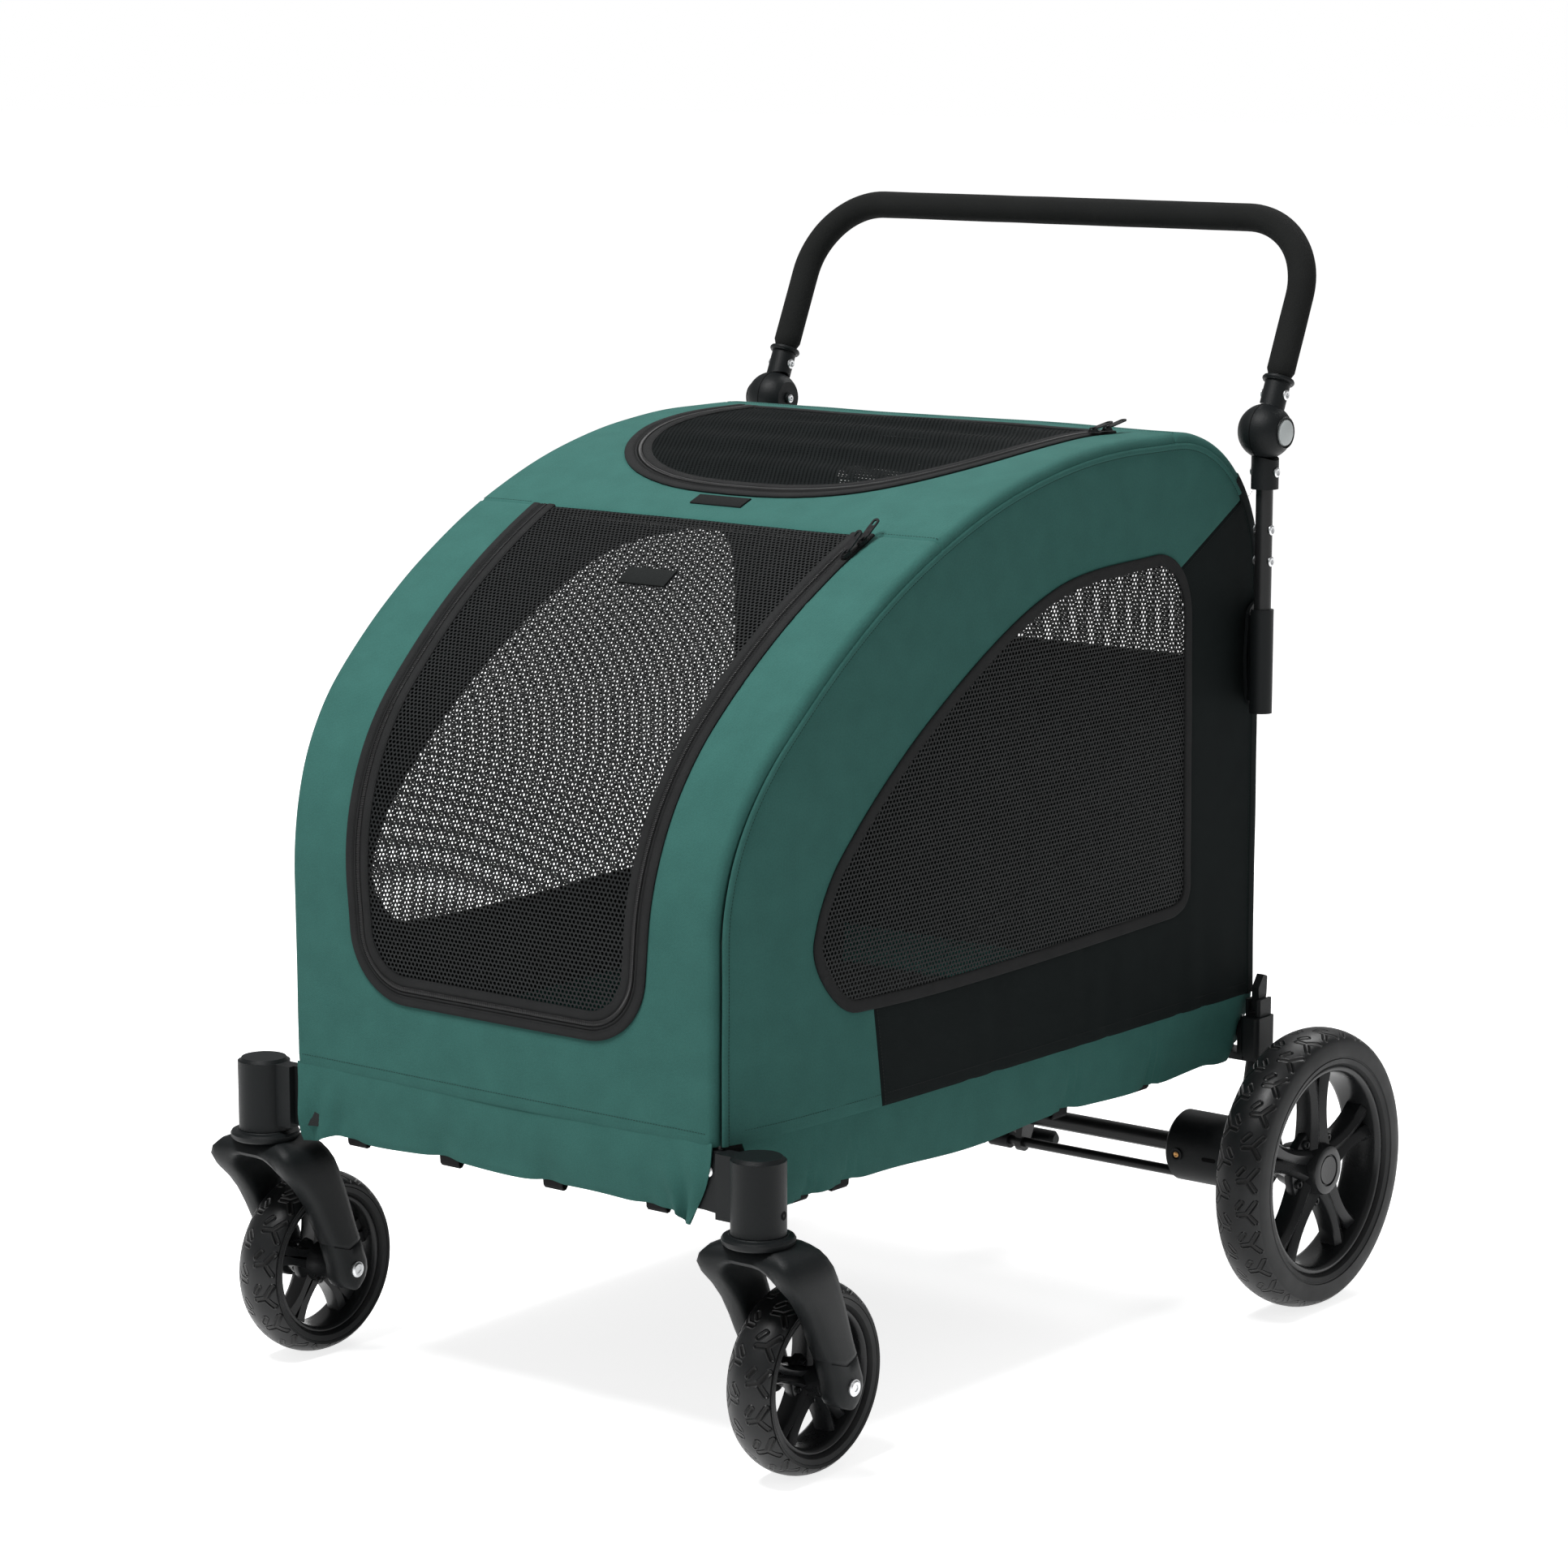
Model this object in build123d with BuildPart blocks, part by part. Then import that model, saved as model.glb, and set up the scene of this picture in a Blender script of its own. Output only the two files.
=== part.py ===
from build123d import *
import os
from math import cos, radians, sin, sqrt

# Pet stroller for large dogs. Millimetres, +Z up, the ground at Z = 0 and the door at the -Y end.
# Left and right are those of the person pushing, so the left side is +X.

# Rear wheels and axle
rear_r = 150.0
rear_w = 58.0
rear_x = 395.0
axle_y = 363.0
axle_rod_r = 6.0

# Front casters
front_r = 94.5
front_w = 54.0
caster_x = 320.5
caster_y = -481.0
caster_trail = 68.5
housing_r = 26.5
housing_low = 249.0
housing_top = 319.0
stem_r = 8.0
front_axle_r = 4.5
wheel_y = caster_y + caster_trail

# Cabin: side profile of a vertical front, two arcs of 45 degrees each, a flat top and a rounded rear corner
front_y = -487.0
rear_y = 399.0
hem_z = 252.0
seam_z = 322.0
arch_start_z = 510.0
arch_low_r = 270.0
arch_high_r = 806.0
corner_r = 165.0
front_half = 271.0
rear_half = 300.0
cloth = 3.0
seam_inset = 14.0
half_span = 320.0
panel_seam_y = -175.0
rear_seam_y = 229.0

# Base frame
rail_r = 9.5
rail_x = 262.0
rail_z = 272.0
front_rail_y = -465.0
rear_rail_y = 386.0

# Folding frame
fold_y = 385.0
fold_z = 284.0
rear_hoop_x = 286.0
front_hoop_x = 256.0
elbow_r = 30.0
front_pivot_y = -467.0
front_pivot_z = 306.0
hoop_r = 8.0
pin_r = 4.0
running_gap = 0.06

# Handle
hinge_x = 329.0
hinge_y = 355.0
hinge_z = 931.0
ball_r = 29.0
ball_x = 328.5
ball_in_x = 306.0
ball_split_x = 327.0
ball_out_x = 353.0
button_r = 14.0
post_r = 9.0
sleeve_r = 12.0
handle_lean = 24.0
handle_reach = 236.0
handle_bend_r = 89.0
handle_tube_r = 11.0
grip_r = 15.0

# Brake
brake_y = 354.0
brake_z = 120.5
brake_rod_r = 5.4
drum_r = 38.5
drum_in_x = 236.0
drum_out_x = 344.0
leg_x = 313.0
boss_out_x = 364.0
leg_r = 11.0
axle_tube_r = 10.2

top_z = arch_start_z + arch_low_r * sin(radians(45)) + arch_high_r * (1 - cos(radians(45)))
crest_y = front_y + arch_low_r * (1 - cos(radians(45))) + arch_high_r * sin(radians(45))
low_centre = (front_y + arch_low_r, arch_start_z)
high_centre = (crest_y, top_z - arch_high_r)
rear_centre = (rear_y - corner_r, top_z - corner_r)

os.makedirs("parts", exist_ok=True)


def save(part, name):
    part.label = name
    export_step(part, f"parts/{name}.step")


def save_pair(part, name):
    # The left piece is modelled and the right one is its mirror image.
    save(part, f"{name}_left")
    save(mirror(part, about=Plane.YZ), f"{name}_right")


def arch_point(centre, radius, angle, x):
    return (x, centre[0] + radius * cos(radians(angle)), centre[1] + radius * sin(radians(angle)))


# ---------------------------------------------------------------- cabin cloth


def cabin_profile(inset=0.0, low=hem_z):
    # Side outline of the cabin in the YZ plane, moved inwards by inset and open at the hem.
    y0, y1, top = front_y + inset, rear_y - inset, top_z - inset
    with BuildSketch(Plane.YZ.offset(-half_span)) as outline:
        with BuildLine():
            Line((y0, low), (y0, arch_start_z))
            CenterArc(low_centre, arch_low_r - inset, 180, -45)
            CenterArc(high_centre, arch_high_r - inset, 135, -45)
            Line((crest_y, top), (rear_centre[0], top))
            CenterArc(rear_centre, corner_r - inset, 90, -90)
            Line((y1, rear_centre[1]), (y1, low))
            Line((y1, low), (y0, low))
        make_face()
    return outline.sketch


def cabin_plan(inset=0.0):
    # Plan outline: straight front and rear edges, sides that swell a little towards the back.
    y0, y1 = front_y + inset, rear_y - inset
    half = ((front_half, y0), (285, -430), (294, -300), (299, -60), (rear_half, y1))
    with BuildSketch(Plane.XY.offset(hem_z)) as outline:
        with BuildLine():
            Spline([(x - inset, y) for x, y in half])
            Line((rear_half - inset, y1), (inset - rear_half, y1))
            Spline([(inset - x, y) for x, y in reversed(half)])
            Line((inset - front_half, y0), (front_half - inset, y0))
        make_face()
    return outline.sketch


def cabin_block(inset=0.0):
    with BuildPart() as block:
        extrude(cabin_plan(inset), amount=top_z, dir=(0, 0, 1))
        extrude(cabin_profile(inset), amount=2 * half_span, dir=(1, 0, 0), mode=Mode.INTERSECT)
    return block.part


def side_prism(outline):
    # A prism through the whole width from a closed outline of (y, z) corners.
    with BuildPart() as prism:
        with BuildSketch(Plane.YZ.offset(-half_span)):
            with BuildLine():
                Polyline(outline, close=True)
            make_face()
        extrude(amount=2 * half_span)
    return prism.part


with BuildPart() as shell:
    add(cabin_block())
    add(cabin_block(cloth), mode=Mode.SUBTRACT)

# The side panels stop at a seam a little inside the arched edge.
with BuildPart() as side_zone:
    extrude(cabin_profile(seam_inset, seam_z), amount=2 * half_span, dir=(1, 0, 0))

# Everything below the hem seam is one skirt, open at the four corners for the brackets.
with BuildPart() as hem_zone:
    with BuildSketch(Plane.XY.offset(hem_z)):
        Rectangle(2 * half_span, 1200)
    extrude(amount=seam_z - hem_z)

below, above = hem_z - 1, seam_z + 1
side_notch = [(front_y - 20, below), (front_y - 20, above), (front_y + 14, above), (-425, below)]
rear_notch = [(rear_y - 26, below), (rear_y - 26, above), (rear_y + 20, above), (rear_y + 20, below)]


def side_strips(inner_x):
    with BuildPart() as strips:
        for side in (-1, 1):
            with BuildSketch(Plane.XY.offset(below)):
                with Locations((side * (half_span + inner_x) / 2, 0)):
                    Rectangle(half_span - inner_x, 1200)
            extrude(amount=above - below)
    return strips.part


with BuildPart() as front_notch:
    with BuildSketch(Plane.XZ.offset(-front_y - 10)):
        for side in (-1, 1):
            with BuildLine():
                Polyline((side * 272, above), (side * 235, below), (side * 310, below), (side * 310, above), close=True)
            make_face()
    extrude(amount=40)

with BuildPart() as hem:
    add(shell.part)
    add(hem_zone.part, mode=Mode.INTERSECT)
    add(side_strips(262) & side_prism(side_notch), mode=Mode.SUBTRACT)
    add(side_strips(236) & side_prism(rear_notch), mode=Mode.SUBTRACT)
    add(front_notch.part, mode=Mode.SUBTRACT)
save(hem.part, "hem_skirt")

# The two bolts of each handle bracket pass through the cloth.
bolt_heights = (712, 668)
with BuildPart() as upper:
    add(shell.part)
    add(hem_zone.part, mode=Mode.SUBTRACT)
    with BuildSketch(Plane.YZ.offset(-half_span)):
        with Locations([(fold_y, z) for z in bolt_heights]):
            Circle(3.4)
    extrude(amount=2 * half_span, mode=Mode.SUBTRACT)

# Side window: a round nose, a long bowed slope over it, an upright rear edge and a nearly flat foot.
with BuildSketch(Plane.YZ.offset(-half_span)) as side_window_outline:
    with BuildLine():
        heel, chin, brow, crown = (232, 430), (-298, 423), (262, 742), (198, 813)
        slope = [chin, (-342, 452), (-360, 498), (-320, 575), (-175, 697), (16, 795), crown]
        Spline(slope, tangents=[(-1, 0), (1, 0)], tangent_scalars=[0.4, 0.4])
        ThreePointArc(crown, (244, 792), brow)
        Line(brow, (268, 464))
        ThreePointArc((268, 464), (258, 439), heel)
        Line(heel, chin)
    make_face()
with BuildPart() as side_window_zone:
    extrude(side_window_outline.sketch, amount=2 * half_span, dir=(1, 0, 0))

# The black part of each side lies below and behind the window.
black_outline = [(-258, seam_z), (-272, 425), (265, 600), (242, 795), (372, 866), (rear_y + 5, 893), (rear_y + 5, seam_z)]

with BuildPart() as left_half:
    with BuildSketch(Plane.XY):
        with Locations((half_span / 2, 0)):
            Rectangle(half_span, 1200)
    extrude(amount=top_z + 10)

with BuildPart() as left_side:
    add(upper.part)
    add(side_zone.part, mode=Mode.INTERSECT)
    add(left_half.part, mode=Mode.INTERSECT)

with BuildPart() as side_window:
    add(left_side.part)
    add(side_window_zone.part, mode=Mode.INTERSECT)
save_pair(side_window.part, "side_window")

with BuildPart() as side_black:
    add(left_side.part)
    add(side_window_zone.part, mode=Mode.SUBTRACT)
    add(side_prism(black_outline), mode=Mode.INTERSECT)
save_pair(side_black.part, "side_black_panel")

with BuildPart() as side_green:
    add(left_side.part)
    add(side_window_zone.part, mode=Mode.SUBTRACT)
    add(side_prism(black_outline), mode=Mode.SUBTRACT)
save_pair(side_green.part, "side_green_panel")

# The band over the arch holds the door panel, the top panel and the rear panel.
with BuildPart() as band:
    add(upper.part)
    add(side_zone.part, mode=Mode.SUBTRACT)


def band_between(y0, y1, hole, keep_hole):
    with BuildPart() as piece:
        add(band.part)
        with BuildSketch(Plane.XY):
            with Locations((0, (y0 + y1) / 2)):
                Rectangle(2 * half_span, y1 - y0)
        extrude(amount=top_z + 10, mode=Mode.INTERSECT)
        add(hole, mode=Mode.INTERSECT if keep_hole else Mode.SUBTRACT)
    return piece.part


# Door: flat at the seam above, tapering down to a round-cornered foot.
with BuildPart() as door_zone:
    with BuildSketch(Plane.XZ.offset(-panel_seam_y - 4)):
        with BuildLine():
            foot = FilletPolyline((-222, 900), (-196, 560), (-184, 405), (184, 405), (196, 560), (222, 900), radius=72)
            Line(foot @ 1, foot @ 0)
        make_face()
    extrude(amount=400)

# Top window: a D with its straight edge at the back.
with BuildPart() as top_zone:
    with BuildSketch(Plane.XY.offset(700)):
        with BuildLine():
            bow = FilletPolyline((-246, 196), (-246, -30), (-120, -127), (120, -127), (246, -30), (246, 196), radius=70)
            Line(bow @ 1, bow @ 0)
        make_face()
    extrude(amount=400)

# Rear window, high in the rear panel.
with BuildPart() as rear_zone:
    with BuildSketch(Plane.XZ.offset(-rear_y - 20)):
        with Locations((0, 768)):
            RectangleRounded(480, 200, 30)
    extrude(amount=100)

save(band_between(front_y - 10, panel_seam_y, door_zone.part, False), "front_panel")
save(band_between(front_y - 10, panel_seam_y, door_zone.part, True), "mesh_door")
save(band_between(panel_seam_y, rear_seam_y, top_zone.part, False), "top_panel")
save(band_between(panel_seam_y, rear_seam_y, top_zone.part, True), "mesh_top_flap")
save(band_between(rear_seam_y, rear_y + 10, rear_zone.part, False), "rear_panel")
save(band_between(rear_seam_y, rear_y + 10, rear_zone.part, True), "mesh_rear_window")


# Sliders of the two zips, closed: the door's at its upper left corner and the top flap's at its rear left one.
# Each has a leaf that lies on the cloth.
slider, leaf = (7, 11, 4), (4.5, 26, 1.6)
door_stop, leaf_end = 116.2, 117.6
with BuildPart() as zip_pulls:
    for size, lift, angle in ((slider, 2.6, door_stop), (leaf, 2.2, leaf_end)):
        with Locations(Location(arch_point(high_centre, arch_high_r + lift, angle, 216), (angle - 90, 0, 0))):
            Box(*size)
    for size, lift, y in ((slider, 2.6, 184), (leaf, 2.2, 166)):
        with Locations((246, y, top_z + lift)):
            Box(*size)
save(zip_pulls.part, "zip_pulls")

# Webbing tabs that hang behind the hem.
with BuildPart() as hem_tabs:
    for x in (-200, -75, 60, 190):
        with Locations((x, front_y + cloth + 1.4, 254)):
            Box(24, 2, 22)
    for side in (-1, 1):
        for x, y in ((283, -360), (286.5, -300), (293.4, 60), (293.8, 210)):
            with Locations((side * x, y, 254)):
                Box(2, 24, 22)
save(hem_tabs.part, "hem_tabs")

# ---------------------------------------------------------------- base frame


def tube(start, end, outer, inner=0.0):
    with BuildPart() as piece:
        with BuildSketch(Plane(origin=start, z_dir=Vector(*end) - Vector(*start))):
            Circle(outer)
            if inner:
                Circle(inner, mode=Mode.SUBTRACT)
        extrude(amount=(Vector(*end) - Vector(*start)).length)
    return piece.part


def slab(x0, x1, y0, y1, z0, z1, round_r=0.0):
    with BuildPart() as piece:
        with BuildSketch(Plane.XY.offset(z0)):
            with Locations(((x0 + x1) / 2, (y0 + y1) / 2)):
                Rectangle(x1 - x0, y1 - y0)
        extrude(amount=z1 - z0)
        if round_r:
            fillet(piece.edges().filter_by(Axis.Z), round_r)
    return piece.part


def ear(x0, x1, y, z, r, foot_z):
    # An upright lug with a round top about the pin centre (y, z), standing on foot_z.
    with BuildPart() as piece:
        with BuildSketch(Plane.YZ.offset(x0)):
            with Locations((y, z)):
                Circle(r)
            with Locations((y, (z + foot_z) / 2)):
                Rectangle(2 * r, z - foot_z)
        extrude(amount=x1 - x0)
    return piece.part


socket_front = -456.0
rail_end_y = 373.0

side_rail = tube((rail_x, socket_front, rail_z), (rail_x, rail_end_y, rail_z), rail_r, rail_r - 1.5)
save_pair(side_rail, "side_rail")
save(tube((-250, front_rail_y, rail_z), (250, front_rail_y, rail_z), rail_r, rail_r - 1.5), "front_rail")
save(tube((-269.5, rear_rail_y, rail_z), (269.5, rear_rail_y, rail_z), rail_r, rail_r - 1.5), "rear_rail")

with BuildPart() as cross_tubes:
    for y in (-160, 110):
        add(tube((-rail_x, y, rail_z), (rail_x, y, rail_z), 8, 6.5))
    for side in (-1, 1):
        add(tube((side * rail_x, -200, rail_z), (side * rail_x, 200, rail_z), rail_r), mode=Mode.SUBTRACT)
save(cross_tubes.part, "cross_tubes")

board_low = rail_z + rail_r
board_top = board_low + 4
save(slab(-270, 270, -436, 352, board_low, board_top, 12), "floor_board")

pad_top = board_top + 14
with BuildPart() as pad:
    add(slab(-260, 260, -428, 346, board_top, pad_top, 24))
    fillet(pad.edges().group_by(Axis.Z)[-1], 5)
save(pad.part, "floor_pad")

web_back = 477.0
# Front corner casting: caster housing, web plate, rail sockets and the clevis of the front hoop.
with BuildPart() as housing:
    with BuildSketch(Plane.XY.offset(housing_low)):
        with Locations((caster_x, caster_y)):
            Circle(housing_r)
    extrude(amount=housing_top - housing_low)
    with BuildSketch(Plane.XY.offset(housing_top)):
        with Locations((caster_x, caster_y)):
            Circle(housing_r - 1.5)
    extrude(amount=3.5, taper=35)
    # The thin web stands in front of the hoop's foot and thickens towards the housing.
    with BuildSketch(Plane.XZ.offset(web_back)):
        with BuildLine():
            web = [(300, 254), (276, 259), (240, 262), (240, 276), (251, 281), (251, 312), (257, 319), (300, 319)]
            Polyline(web, close=True)
        make_face()
    extrude(amount=5.5)
    add(slab(276, 300, -490, -470, 256, 319))
    add(slab(239, 273.5, -web_back - 1, -444, 259, 287))
    for x in (242.5, 265.0):
        add(ear(x, x + 4.5, front_pivot_y, front_pivot_z, 9.5, 280))
    add(tube((242.5, front_pivot_y, front_pivot_z), (269.5, front_pivot_y, front_pivot_z), pin_r))
    add(tube((230, front_rail_y, rail_z), (250, front_rail_y, rail_z), rail_r), mode=Mode.SUBTRACT)
    add(tube((rail_x, socket_front, rail_z), (rail_x, -440, rail_z), rail_r), mode=Mode.SUBTRACT)
    with BuildSketch(Plane.XY.offset(housing_low)):
        with Locations((caster_x, caster_y)):
            Circle(stem_r + running_gap)
    extrude(amount=56, mode=Mode.SUBTRACT)
save_pair(housing.part, "caster_housing")

# Rear corner casting: hinge clevis of the rear hoop, leg socket, latch slot and rail sockets.
latch_y, latch_z = 388.0, 309.0
with BuildPart() as rear_bracket:
    add(slab(301.5, 324, 368, 404, 256, 299, 5))
    add(slab(302.5, 321, 376, 402, 299, 318, 3))
    add(slab(262, 324, 374.5, 404, 250, 258, 2))
    add(slab(250, 275, 358, 376, 260, 281))
    for x in (270.0, 295.5):
        add(ear(x, x + 6.5, fold_y, fold_z, 12, 252))
    add(tube((270, fold_y, fold_z), (302, fold_y, fold_z), pin_r))
    add(tube((rail_x, 350, rail_z), (rail_x, rail_end_y, rail_z), rail_r), mode=Mode.SUBTRACT)
    add(slab(307, 316.6, 370, 410, 300, 330), mode=Mode.SUBTRACT)
    add(tube((303, latch_y, latch_z), (320, latch_y, latch_z), 2.5))
save_pair(rear_bracket.part, "rear_bracket")

with BuildPart() as latch:
    with BuildSketch(Plane.YZ.offset(307.4)):
        with BuildLine():
            Polyline((383, 303), (393, 303), (398, 322), (399, 341), (392, 344), (382, 330), close=True)
        make_face()
    extrude(amount=8.8)
    fillet(latch.edges().filter_by(Axis.X), 1.8)
    add(tube((307, latch_y, latch_z), (317, latch_y, latch_z), 2.5 + running_gap), mode=Mode.SUBTRACT)
save_pair(latch.part, "latch_lever")

# Rear legs, axle and drums
drum_profile = [
    (drum_in_x, axle_rod_r), (drum_in_x, drum_r - 3), (drum_in_x + 3, drum_r), (drum_out_x - 6, drum_r),
    (drum_out_x, drum_r - 8), (drum_out_x, 18), (boss_out_x, 16), (boss_out_x, axle_rod_r),
]


def turned(profile, y, z):
    # A solid of revolution about an axis along X through (y, z), from corners of (x, radius).
    with BuildPart() as piece:
        with BuildSketch(Plane(origin=(0, y, z), x_dir=(1, 0, 0), z_dir=(0, -1, 0))):
            with BuildLine():
                Polyline(profile, close=True)
            make_face()
        revolve(axis=Axis((0, y, z), (1, 0, 0)))
    return piece.part


# Each rear leg is one piece with the drum that carries the wheel's bearing.
with BuildPart() as leg:
    add(tube((leg_x, 386, 256), (leg_x, axle_y, rear_r), leg_r))
    add(slab(290, 340, 350, 420, 250, 290), mode=Mode.SUBTRACT)
    add(turned(drum_profile, axle_y, rear_r))
    add(tube((drum_in_x, axle_y, rear_r), (boss_out_x, axle_y, rear_r), axle_rod_r), mode=Mode.SUBTRACT)
    add(tube((drum_in_x, brake_y, brake_z), (drum_in_x + 28, brake_y, brake_z), brake_rod_r + running_gap), mode=Mode.SUBTRACT)
save_pair(leg.part, "rear_leg")

axle_rod_end = rear_x + 17
save(tube((-axle_rod_end, axle_y, rear_r), (axle_rod_end, axle_y, rear_r), axle_rod_r), "axle_rod")

# ---------------------------------------------------------------- brake

# Two plates welded to the axle tube hold the brake rod.
with BuildPart() as axle_tube:
    add(tube((-drum_in_x, axle_y, rear_r), (drum_in_x, axle_y, rear_r), axle_tube_r))
    for x in (-32, 24):
        with BuildSketch(Plane.YZ.offset(x)):
            with Locations((axle_y, rear_r)):
                Circle(15)
            with Locations((brake_y, brake_z)):
                Circle(10)
            with BuildLine():
                Polyline((axle_y - 13, rear_r), (axle_y + 11, rear_r - 8), (brake_y + 9, brake_z), (brake_y - 9, brake_z), close=True)
            make_face()
            with Locations((brake_y, brake_z)):
                Circle(brake_rod_r + running_gap, mode=Mode.SUBTRACT)
        extrude(amount=8)
    add(tube((-drum_in_x, axle_y, rear_r), (drum_in_x, axle_y, rear_r), axle_tube_r - 2.2), mode=Mode.SUBTRACT)
save(axle_tube.part, "axle_tube")

save(tube((-drum_in_x - 26, brake_y, brake_z), (drum_in_x + 26, brake_y, brake_z), brake_rod_r), "brake_rod")

pedal_y, pedal_z = 405.0, 114.0
with BuildPart() as pedal:
    with BuildSketch(Plane.YZ.offset(-13)):
        with Locations((brake_y, brake_z)):
            Circle(9.5)
        with BuildLine():
            Polyline((brake_y, brake_z + 8), (pedal_y, pedal_z + 6), (pedal_y, pedal_z - 6), (brake_y, brake_z - 8), close=True)
        make_face()
        with Locations((brake_y, brake_z)):
            Circle(brake_rod_r, mode=Mode.SUBTRACT)
    extrude(amount=26)
    pedal_bar = [(-38, 0), (-38, 6), (-34, 9.5), (34, 9.5), (38, 6), (38, 0)]
    add(turned(pedal_bar, pedal_y, pedal_z))
save(pedal.part, "brake_pedal")

# ---------------------------------------------------------------- wheels


def tyre(x, y, radius, width, seat):
    # Square-shouldered foam tyre: flat bead seat, full sidewalls and a rounded crown.
    half = width / 2
    with BuildPart() as piece:
        with BuildSketch(Plane(origin=(x, y, radius), x_dir=(1, 0, 0), z_dir=(0, -1, 0))):
            with BuildLine():
                Line((half - 7, seat), (7 - half, seat))
                wall = (seat + radius) / 2 - 2
                ThreePointArc((7 - half, seat), (-half, wall), (6 - half, radius - 6.5))
                ThreePointArc((6 - half, radius - 6.5), (0, radius), (half - 6, radius - 6.5))
                ThreePointArc((half - 6, radius - 6.5), (half, wall), (half - 7, seat))
            make_face()
        revolve(axis=Axis((x, y, radius), (1, 0, 0)))
    return piece.part


def rim(x, y, radius, half, opening, seat, hub, reach, bore, cap):
    # Moulded wheel: a barrel, five forked spokes and a hub that reaches (inwards, outwards) from the middle.
    with BuildPart() as piece:
        barrel = [(x - half, opening), (x - half, seat), (x + half, seat), (x + half, opening)]
        waist = opening - 3
        barrel += [(x + 6, waist), (x - 6, waist)]
        add(turned(barrel, y, radius))
        inner_end, outer_end = x - reach[0], x + reach[1]
        add(turned([(inner_end, 0), (inner_end, hub), (outer_end, hub), (outer_end, 0)], y, radius))
        with BuildSketch(Plane.YZ.offset(x - half * 0.45)):
            for turn in range(5):
                for flip in (-1, 1):
                    with Locations(Location((y, radius), 72 * turn + 90)):
                        Polygon(
                            (hub * 0.8, -flip * hub * 0.1), (hub * 0.8, flip * hub * 0.62),
                            (waist + 1, flip * waist * 0.21), (waist + 1, flip * waist * 0.07),
                            (waist * 0.45, 0), align=None,
                        )
        extrude(amount=half * 0.9)
        if cap:
            cap_end = outer_end + cap
            add(turned([(outer_end, 0), (outer_end, hub), (cap_end, hub * 0.86), (cap_end, 0)], y, radius))
        bore_end = x + reach[1] - 0.4 if cap else outer_end
        add(tube((inner_end, y, radius), (bore_end, y, radius), bore + running_gap), mode=Mode.SUBTRACT)
    return piece.part


save_pair(tyre(rear_x, axle_y, rear_r, rear_w, 112), "rear_tyre")
save_pair(rim(rear_x, axle_y, rear_r, 22, 105.5, 112, 27, (29, 18), axle_rod_r, 7), "rear_rim")
save_pair(tyre(caster_x, wheel_y, front_r, front_w, 72), "front_tyre")
save_pair(rim(caster_x, wheel_y, front_r, 20, 67.5, 72, 17, (30, 30), front_axle_r, 0), "front_rim")

# ---------------------------------------------------------------- caster forks

fork_half = 57.0
arm_in = 31.5
end_y, end_z = wheel_y, front_r
with BuildPart() as fork:
    # Side view: a lip at the front, arms that sweep back and down to the axle.
    with BuildSketch(Plane.YZ.offset(caster_x - fork_half)):
        with BuildLine():
            crown = Polyline((-447, 241), (-496, 241), (-510, 233), (-513, 226), (-509, 213))
            Spline(crown @ 1, (-477, 184), (-452, 140), (end_y - 22, end_z + 2))
            ThreePointArc((end_y - 22, end_z + 2), (end_y + 2, end_z - 22), (end_y + 22, end_z + 4))
            Spline((end_y + 22, end_z + 4), (-405, 137), (-423, 188), crown @ 0)
        make_face()
    extrude(amount=2 * fork_half)
    # Front view: sloping shoulders, arms that taper a little towards the axle.
    with BuildSketch(Plane.XZ.offset(400)):
        for flip in (-1, 1):
            with BuildLine():
                outer = [(0, 241), (32, 241), (56, 231), (60, 224), (fork_half, 205), (fork_half, 66), (0, 66)]
                Polyline([(caster_x + flip * x, z) for x, z in outer], close=True)
            make_face()
    extrude(amount=200, mode=Mode.INTERSECT)
    # The hollow between the arms rises to the underside of the crown.
    with BuildSketch(Plane.YZ.offset(caster_x - arm_in)):
        with BuildLine():
            hollow = ThreePointArc((-530, 204), (-474, 221), (-404, 198))
            Polyline(hollow @ 1, (-340, 180), (-340, 40), (-530, 40), hollow @ 0)
        make_face()
    extrude(amount=2 * arm_in, mode=Mode.SUBTRACT)
    with BuildSketch(Plane.XY.offset(241)):
        with Locations((caster_x, caster_y)):
            Circle(33)
    extrude(amount=7.5)
    with BuildSketch(Plane.XY.offset(248)):
        with Locations((caster_x, caster_y)):
            Circle(stem_r)
    extrude(amount=54)
    add(tube((caster_x - 70, wheel_y, front_r), (caster_x + 70, wheel_y, front_r), front_axle_r), mode=Mode.SUBTRACT)
save_pair(fork.part, "caster_fork")

with BuildPart() as front_axle:
    add(tube((caster_x - fork_half, wheel_y, front_r), (caster_x + fork_half, wheel_y, front_r), front_axle_r))
    for x in (caster_x - fork_half - 4, caster_x + fork_half):
        add(tube((x, wheel_y, front_r), (x + 4, wheel_y, front_r), 8))
save_pair(front_axle.part, "front_axle")

# ---------------------------------------------------------------- folding hoops


def swept_tube(path, radius):
    with BuildPart() as piece:
        with BuildSketch(Plane(origin=path @ 0, z_dir=path % 0)):
            Circle(radius)
        sweep(path=path)
    return piece.part


front_inset = front_pivot_y - front_y
low_r, high_r = arch_low_r - front_inset, arch_high_r - front_inset
hoop_end = 115.0
knee = arch_point(low_centre, low_r, 135, front_hoop_x)
shoulder = arch_point(high_centre, high_r, hoop_end, front_hoop_x)
rise = Vector(0, sin(radians(hoop_end)), -cos(radians(hoop_end)))
elbow_out = Vector(*shoulder) + rise * elbow_r - Vector(elbow_r, 0, 0)

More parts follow.
